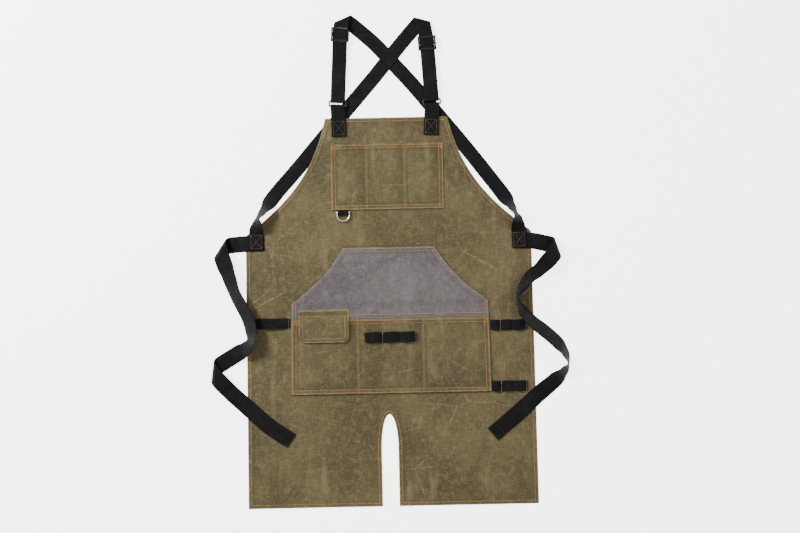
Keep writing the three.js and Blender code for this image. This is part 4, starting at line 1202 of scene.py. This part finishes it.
tab_low, tab_high = node_box("d_ring_tab")
TAB_HALF = (tab_high[0] - tab_low[0]) / 2
TAB_RADIUS = (D_BAR + LOOP_THICK) / 2 + GAP
TAB_SLACK = 4.5
tab_profile = densified([(tab_high[1], D_HEIGHT - TAB_RADIUS),
                         *arc((D_TOP - TAB_SLACK, D_HEIGHT), TAB_RADIUS, 270, 90, 12),
                         (tab_high[1], D_HEIGHT + TAB_RADIUS)], 1.5)
tab = Ribbon([((D_CENTRE + TAB_HALF, y, z), (D_CENTRE - TAB_HALF, y, z)) for y, z in tab_profile],
             LOOP_THICK)
tab.make("d_ring_tab_webbing", "d_ring_tab", held="folded")

# %% Sliders
SLIDER_RAIL, SLIDER_ROOM, SLIDER_PLATE, END_BAR, MIDDLE_BAR = 2.2, 2.0, 1.8, 5.0, 4.0
RAIL_GAP = 0.3


def slider_piece(name, side):
    lane = side["lane"]
    low, high = node_box(f"{name}_slider")
    inner = SHOULDER_WIDTH / 2 + SLIDER_ROOM
    full = inner + SLIDER_RAIL
    end = (SLIDER_LENGTH - END_BAR) / 2
    bar_low = RING_HEIGHT - SLIDER_PLATE / 2
    bars = [(0, 0, full, MIDDLE_BAR / 2, bar_low, bar_low + SLIDER_PLATE)]
    for sign in (-1, 1):
        bars.append((0, sign * end, full, END_BAR / 2, high[2] - SLIDER_PLATE, high[2]))
        rail = (full - SHOULDER_WIDTH / 2 - RAIL_GAP) / 2
        bars.append((sign * (full - rail), 0, rail, SLIDER_LENGTH / 2, bar_low, high[2]))
    pieces = []
    for u, v, half_u, half_v, bottom, top in bars:
        mesh = bmesh.new()
        bmesh.ops.create_cube(mesh, size=2)
        for vertex in mesh.verts:
            cu, cv, cz = vertex.co
            vertex.co = in_frame(lane.point(lane.run + v + cv * half_v, u + cu * half_u,
                                            (bottom + top) / 2 + cz * (top - bottom) / 2))
        data = bpy.data.meshes.new("bar")
        mesh.to_mesh(data)
        mesh.free()
        pieces.append(linked("bar", data))
    body = pieces[0]
    for other in pieces[1:]:
        join = body.modifiers.new("join", "BOOLEAN")
        join.operation = "UNION"
        join.object = other
        settled(body)
    rounded(body, 0.55, 3, 40)
    for other in pieces[1:]:
        bpy.data.objects.remove(other)
    body.name = f"{name}_slider_frame"
    mesh = body.data
    count = len(mesh.vertices)
    co, normals = np.zeros(count * 3), np.zeros(count * 3)
    mesh.vertices.foreach_get("co", co)
    mesh.vertices.foreach_get("normal", normals)
    co, normals = co.reshape(-1, 3), normals.reshape(-1, 3)
    plan = (co - in_frame(lane.point(lane.run))) / MM
    along = plan[:, 0] * lane.along[0] + plan[:, 1] * lane.along[1]
    up = (co[:, 2] / MM > high[2] - 0.9) * np.clip(np.abs(normals[:, 2]), 0, 1)
    tip = np.clip((np.abs(along) - end - 1.9) / 0.8, 0, 1) * side["wear"]
    worn = mesh.attributes.new("worn", "FLOAT", "POINT")
    worn.data.foreach_set("value", (up * (0.25 + 0.5 * tip)).astype(np.float32))
    mesh.materials.clear()
    mesh.materials.append(ENAMEL)
    areas = np.zeros(len(mesh.polygons))
    mesh.polygons.foreach_get("area", areas)
    mesh.polygons.foreach_set("use_smooth", areas < 2.0 * MM * MM)
    mesh.set_sharp_from_angle(angle=math.radians(35))
    dress(body, "buckle_metal", f"{name}_buckle", f"{name}_slider")
    print(body.name, "faces:", len(mesh.polygons))


for name, side in SIDES.items():
    slider_piece(name, side)

# %% [markdown]
# ## Stitches
# Thousands of small stitches are one job for Geometry Nodes. The rows are drawn as plain edges
# just above the cloth. The tree walks along each row, sets a stitch at every step with a little
# random size, and turns it to follow the row. One object is made for each thread and body.

# %% Trees that plant small shapes
def planting_tree(name, wanted, plant):
    """A tree with these named inputs, the last one a material. The plant function puts
    instances on the geometry given; they are then made real and painted."""
    tree = bpy.data.node_groups.new(name, "GeometryNodeTree")
    sockets = [tree.interface.new_socket(label, in_out="INPUT", socket_type=f"NodeSocket{kind}")
               for label, kind in (("Geometry", "Geometry"), *wanted)]
    tree.interface.new_socket("Geometry", in_out="OUTPUT", socket_type="NodeSocketGeometry")
    given = tree.nodes.new("NodeGroupInput").outputs

    def add(kind, inputs=None, **settings):
        return add_node(tree, kind, inputs, **settings).outputs

    planted = plant(add, given, tree)
    real = add("GeometryNodeRealizeInstances", {0: planted})
    painted = add("GeometryNodeSetMaterial", {"Geometry": real[0], "Material": given[len(wanted)]})
    add("NodeGroupOutput", {0: painted[0]})
    return tree, [socket.identifier for socket in sockets[1:]]


def planted(obj, maker, *values):
    """Run a planting tree on an object, with its inputs in order, and keep the plain mesh."""
    modifier = obj.modifiers.new("planting", "NODES")
    modifier.node_group, keys = maker
    for key, value in zip(keys, values):
        modifier[key] = value
    return settled(obj)


def plant_stitches(add, given, tree):
    curve = add("GeometryNodeMeshToCurve", {"Mesh": given["Geometry"]})
    points = add("GeometryNodeCurveToPoints", {0: curve[0], "Length": given["Pitch"]},
                 mode="LENGTH")
    bead = add("GeometryNodeMeshUVSphere", {"Segments": 6, "Rings": 4, "Radius": 1.0})
    half = add("ShaderNodeMath", {0: given["Stitch length"], 1: 0.5}, operation="MULTIPLY")
    radius = given["Thread radius"]
    size = add("ShaderNodeCombineXYZ", {"X": radius, "Y": radius, "Z": half[0]})
    vary = add("FunctionNodeRandomValue", {2: 0.85, 3: 1.12, "Seed": 12}, data_type="FLOAT")
    scale = add("ShaderNodeVectorMath", {0: size[0], "Scale": vary[1]}, operation="SCALE")
    return add("GeometryNodeInstanceOnPoints",
               {"Points": points["Points"], "Instance": bead["Mesh"],
                "Rotation": points["Rotation"], "Scale": scale[0]})[0]


STITCHES = planting_tree("stitch_rows", (("Pitch", "Float"), ("Stitch length", "Float"),
                                         ("Thread radius", "Float"), ("Thread", "Material")),
                         plant_stitches)


SEAM, DIVIDER, BOXED = (3.4, 2.8, 0.5), (3.4, 2.6, 0.42), (2.6, 2.2, 0.42)
ENDS, DENSE = (2.6, 2.2, 0.4), (0.9, 1.4, 0.34)


def sew(name, rows, thread_finish, slot_name, stitch, join=None):
    """Stitches along rows of points in millimetres; a stitch is its pitch, length and radius."""
    points, edges = [], []
    for row in rows:
        first = len(points)
        points.extend(in_frame(row).tolist())
        edges.extend((first + k, first + k + 1) for k in range(len(row) - 1))
    mesh = bpy.data.meshes.new(name)
    mesh.from_pydata(points, edges, [])
    obj = planted(linked(name, mesh), STITCHES, *(size * MM for size in stitch), thread_finish)
    obj.data.polygons.foreach_set("use_smooth", np.ones(len(obj.data.polygons), bool))
    dress(obj, slot_name, None if join else "apron")
    if join:
        join(obj)
    print(name, "rows:", len(rows), "faces:", len(obj.data.polygons))


# %% Rows of stitches on cloth
SINK = 0.15


def on_cloth(top, plan, step=3.0):
    """A row over the cloth's upper face, from a plan line of [x, y] points."""
    plan = densified(plan, step)
    height = top(plan[:, 0], plan[:, 1])
    return np.concatenate([plan, (height + SINK)[:, None]], 1)


def panel_side(inset):
    """The sewn line up one side of the panel, from the hem to the bib."""
    ys = np.concatenate([np.arange(inset, WAIST_Y - 6, 8.0), armhole[::-1, 1][1:]])
    ys = ys[ys <= LENGTH - inset]
    half = panel_half(ys)
    slope = np.gradient(half, ys)
    normal = np.stack([np.ones_like(slope), -slope], 1) / np.hypot(1, slope)[:, None]
    line = np.stack([half, ys], 1) - normal * inset
    return line[edge_distance(line[:, 0], line[:, 1]) > inset - 0.7]


def slit_line(inset):
    a = np.radians(np.linspace(0, 180, 50))
    arch = np.stack([SLIT_CENTRE + (SLIT_HALF + inset) * np.cos(a),
                     SLIT_FOOT + (SLIT_ARCH + inset) * np.sin(a)], 1)
    foot = [(SLIT_CENTRE + SLIT_HALF + inset, inset)]
    return np.concatenate([foot, arch, [(SLIT_CENTRE - SLIT_HALF - inset, inset)]])


def across(half, y):
    """A level line, this far to each side of the middle."""
    return [(-half, y), (half, y)]


HEM_STITCH = 8.0
side_line = panel_side(HEM_STITCH)
hem_lines = [side_line, side_line * (-1, 1), slit_line(HEM_STITCH)]
for sign in (-1, 1):
    slit_edge = SLIT_CENTRE + sign * (SLIT_HALF + HEM_STITCH)
    hem_lines.append([(slit_edge, HEM_STITCH), (sign * (HEM_HALF - HEM_STITCH), HEM_STITCH)])
hem_lines.append(across(BIB_HALF - HEM_STITCH, LENGTH - HEM_STITCH))


def pocket_rows(pocket, sides, foot, mouth):
    """Stitched lines round a patch pocket, at these insets from its edges."""
    low, high = pocket.low[1], pocket.high[1]
    climb = np.linspace(low + foot[0], high - mouth[0], 20)
    lines = [[(sign * (pocket.half_at(y) - inset), y) for y in climb]
             for inset in sides for sign in (-1, 1)]
    lines += [across(float(pocket.half_at(y)) - sides[0], y)
              for y in [low + f for f in foot] + [high - m for m in mouth]]
    return [on_cloth(pocket.upper, line) for line in lines]


def divider_rows(pocket, foot):
    """Two close lines down each divider, from the mouth to the foot."""
    return [on_cloth(pocket.upper, [(x + beside_it, pocket.low[1] + foot),
                                    (x + beside_it, pocket.high[1] - 1)])
            for x in pocket.dividers for beside_it in (-2.2, 2.2)]


FIRST_ROW, SECOND_ROW = 3.0, 9.5
SIDE_ROWS_FROM = 444.0
hand_lines = []
for inset in (FIRST_ROW, SECOND_ROW):
    y = hand.high[1] - inset
    hand_lines.append(across(float(hand.half_at(y)) - FIRST_ROW, y))
for above in (FIRST_ROW, SECOND_ROW + 0.5):
    y = lower.high[1] + above
    hand_lines.append([(FLAP_X[1] + 2, y), (float(hand.half_at(y)) - FIRST_ROW, y)])
for inset in (FIRST_ROW, SECOND_ROW):
    for sign in (-1, 1):
        edge_x = sign * (float(hand.half_at(HAND_CORNER)) - inset)
        hand_lines.append([(edge_x, SIDE_ROWS_FROM), (edge_x, HAND_CORNER - FIRST_ROW)])
heading_y = heading_high[1] - FIRST_ROW
tan_rows = ([on_cloth(panel_top, line) for line in hem_lines]
            + pocket_rows(chest, (2.2, 9.5), (2.2, 9.0), (3.5, 9.5))
            + pocket_rows(lower, (2.5, 10.5), (2.5, 9.5), (3.5, 11.0))
            + [on_cloth(hand.upper, line) for line in hand_lines]
            + [on_cloth(flap_upper, [(FLAP_X[0] + 2, heading_y), (FLAP_X[1] - 2, heading_y)])])
sew("seam_stitches", tan_rows, TAN_THREAD, "olive_canvas", SEAM)
sew("divider_stitches", divider_rows(chest, 2.2) + divider_rows(lower, 2.5), FADED_THREAD,
    "olive_canvas", DIVIDER)

# %% Stitches on the flap, the webbing and the corners
def flap_line(inset):
    left, right = FLAP_X[0] + inset, FLAP_X[1] - inset
    foot = flap_low[1] + inset
    radius = max(FLAP_ROUND - inset, 4)
    ends = [*arc((left + radius, foot + radius), radius, 180, 270, 10),
            *arc((right - radius, foot + radius), radius, 270, 360, 10)]
    return [(left, FLAP_TURN - 2), *ends, (right, FLAP_TURN - 2)]


def bend_with_flap(obj):
    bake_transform(obj)


turn_y = FLAP_TURN - 2.5
flap_rows = [on_cloth(flap_upper, flap_line(9.0)),
             on_cloth(flap_upper, [(FLAP_X[0] + 2, turn_y), (FLAP_X[1] - 2, turn_y)])]
sew("flap_stitches", flap_rows, TAN_THREAD, "olive_canvas", SEAM, bend_with_flap)


def box_and_cross(ribbon, start, end, inset=4.0):
    """A sewn box with a cross in it, over a stretch of webbing."""
    side = 1 - 2 * inset / ribbon.width.mean()
    corners = [(start, -side), (start, side), (end, side), (end, -side), (start, -side)]
    rows = []
    for line in (corners, [corners[0], corners[2]], [corners[1], corners[3]]):
        run = np.concatenate([np.linspace(a[0], b[0], 12) for a, b in zip(line[:-1], line[1:])])
        across = np.concatenate([np.linspace(a[1], b[1], 12) for a, b in zip(line[:-1], line[1:])])
        points = ribbon.point(run, across, SINK)
        rows.append(apart(points, points, 0.01))
    return rows


BOX_FROM, BOX_TO = 36, 4   # back from the ribbon's end
cross_rows = []
for name in SIDES:
    for ribbon in (shoulder_straps[name], stubs[name]):
        cross_rows += box_and_cross(ribbon, ribbon.run[-1] - BOX_FROM, ribbon.run[-1] - BOX_TO)
sew("cross_stitches", cross_rows, BROWN_THREAD, "webbing", BOXED)
pale_rows, dark_rows = [], []
for ribbon, tacks in loop_ribbons.values():
    for number, tack in enumerate(tacks):
        run = np.interp(tack, ribbon.rows[:, 0, 0] - ribbon.rows[0, 0, 0], ribbon.run)
        row = ribbon.point(np.full(8, run), np.linspace(-0.98, 0.98, 8), 0.25)
        (pale_rows if number % 2 else dark_rows).append(row)
sew("loop_stitches", pale_rows, PALE_THREAD, "webbing", BOXED)
sew("loop_end_stitches", dark_rows, BLACK_THREAD, "webbing", ENDS)
end_rows = [tie.point(np.full(10, tie.run[-1] - back), np.linspace(-0.9, 0.9, 10), 0.1)
            for tie in ties.values() for back in (3, 22)]
sew("tie_end_stitches", end_rows, BLACK_THREAD, "webbing", ENDS)


def bar_tack(top, start, end, width=2.4):
    """A dense zigzag that locks the end of a seam."""
    start, end = np.array(start, float), np.array(end, float)
    along = (end - start) / np.linalg.norm(end - start)
    across = np.array([-along[1], along[0]]) * width / 2
    count = int(np.linalg.norm(end - start) / 0.7)
    zigzag = [start + (end - start) * k / count + across * (1 if k % 2 else -1)
              for k in range(count + 1)]
    return on_cloth(top, zigzag, 1.0)


CHEST_TACK, SIDE_TACK = 127, 226
TACKS = (   # the cloth's upper face, where the tack starts, and how far it goes out and up
    (hand.upper, HAND_TOP_HALF - 1, hand.high[1] - 2, 3, -9),
    (hand.upper, SIDE_TACK, HAND_CORNER - 2, 0, -12),
    (chest.upper, CHEST_TACK, chest.high[1] - 2, 0, -11),
    (lower.upper, SIDE_TACK, lower.high[1] - 2, 0, -10),
)
rust_rows = []
for sign in (-1, 1):
    for top, x, y, out, up in TACKS:
        rust_rows.append(bar_tack(top, (sign * x, y), (sign * (x + out), y + up)))
    hem_x = SLIT_CENTRE + sign * (SLIT_HALF + 8)
    rust_rows.append(bar_tack(panel_top, (hem_x, 7), (hem_x + sign * 9, 7)))
sew("bar_tacks", rust_rows, RUST_THREAD, "olive_canvas", DENSE)

# %% [markdown]
# ## Grip tape
# Nothing shows how the flap is held, so two strips of hook and loop tape are put where such
# tape is sewn, one on the pocket and one under the flap. Geometry Nodes plant the bristles.

# %% Grip tape
def plant_bristles(add, given, tree):
    scatter = add("GeometryNodeDistributePointsOnFaces",
                  {"Mesh": given[0], "Density": given[1], "Seed": 7})
    cone = add("GeometryNodeMeshCone", {"Vertices": 4, "Radius Top": 0.00016,
                                        "Radius Bottom": 0.00024, "Depth": given[2]})
    plants = add("GeometryNodeInstanceOnPoints",
                 {"Points": scatter["Points"], "Rotation": scatter["Rotation"],
                  "Instance": cone["Mesh"]})
    both = tree.nodes.new("GeometryNodeJoinGeometry")
    for part in (plants[0], given[0]):
        tree.links.new(part, both.inputs[0])
    return both.outputs[0]


BRISTLES = planting_tree("bristles", (("Bristles per square metre", "Float"),
                                      ("Bristle height", "Float"), ("Tape", "Material")),
                         plant_bristles)
TAPE_FINISH = Finish("grip_tape_black", roughness=0.9, sheen=0.3)
tape_fuzz = TAPE_FINISH.noise(TAPE_FINISH.object_place, 600.0)
TAPE_FINISH.drive("Base Color", TAPE_FINISH.mix(tape_fuzz, rgb(18, 18, 19), rgb(40, 40, 41)))
BRISTLE, BRISTLES_PER_METRE, BACKING = 0.35, 900000.0, 0.45


def grip_tape(name, node, body, facing):
    """A backing strip with rounded corners and bristles on its facing side, 1 up, -1 down."""
    low, high = node_box(node)
    centre, half = (low + high) / 2, (high - low) / 2
    outline = rounded_rectangle(half[0], half[1], 3.0, 5) + centre[:2]
    count = len(outline)
    back = low[2] if facing > 0 else high[2]
    front = back + facing * BACKING
    bottom, top = min(back, front), max(back, front)
    points = np.array([(*p, z) for z in (bottom, top) for p in outline]
                      + [(*centre[:2], bottom), (*centre[:2], top)])
    faces = []
    for k in range(count):
        n = (k + 1) % count
        faces += [(k, n, count + n), (k, count + n, count + k), (2 * count, n, k),
                  (2 * count + 1, count + k, count + n)]
    piece = mesh_object(name, points, np.array(faces), TAPE_FINISH.material)
    planted(piece, BRISTLES, BRISTLES_PER_METRE, BRISTLE * MM, TAPE_FINISH.material)
    dress(piece, "grip_tape", body, node)
    print(name, "faces:", len(piece.data.polygons))


grip_tape("pocket_grip_tape", "pocket_grip_patch", "apron", 1)
grip_tape("flap_grip_tape", "flap_grip_patch", "flap", -1)
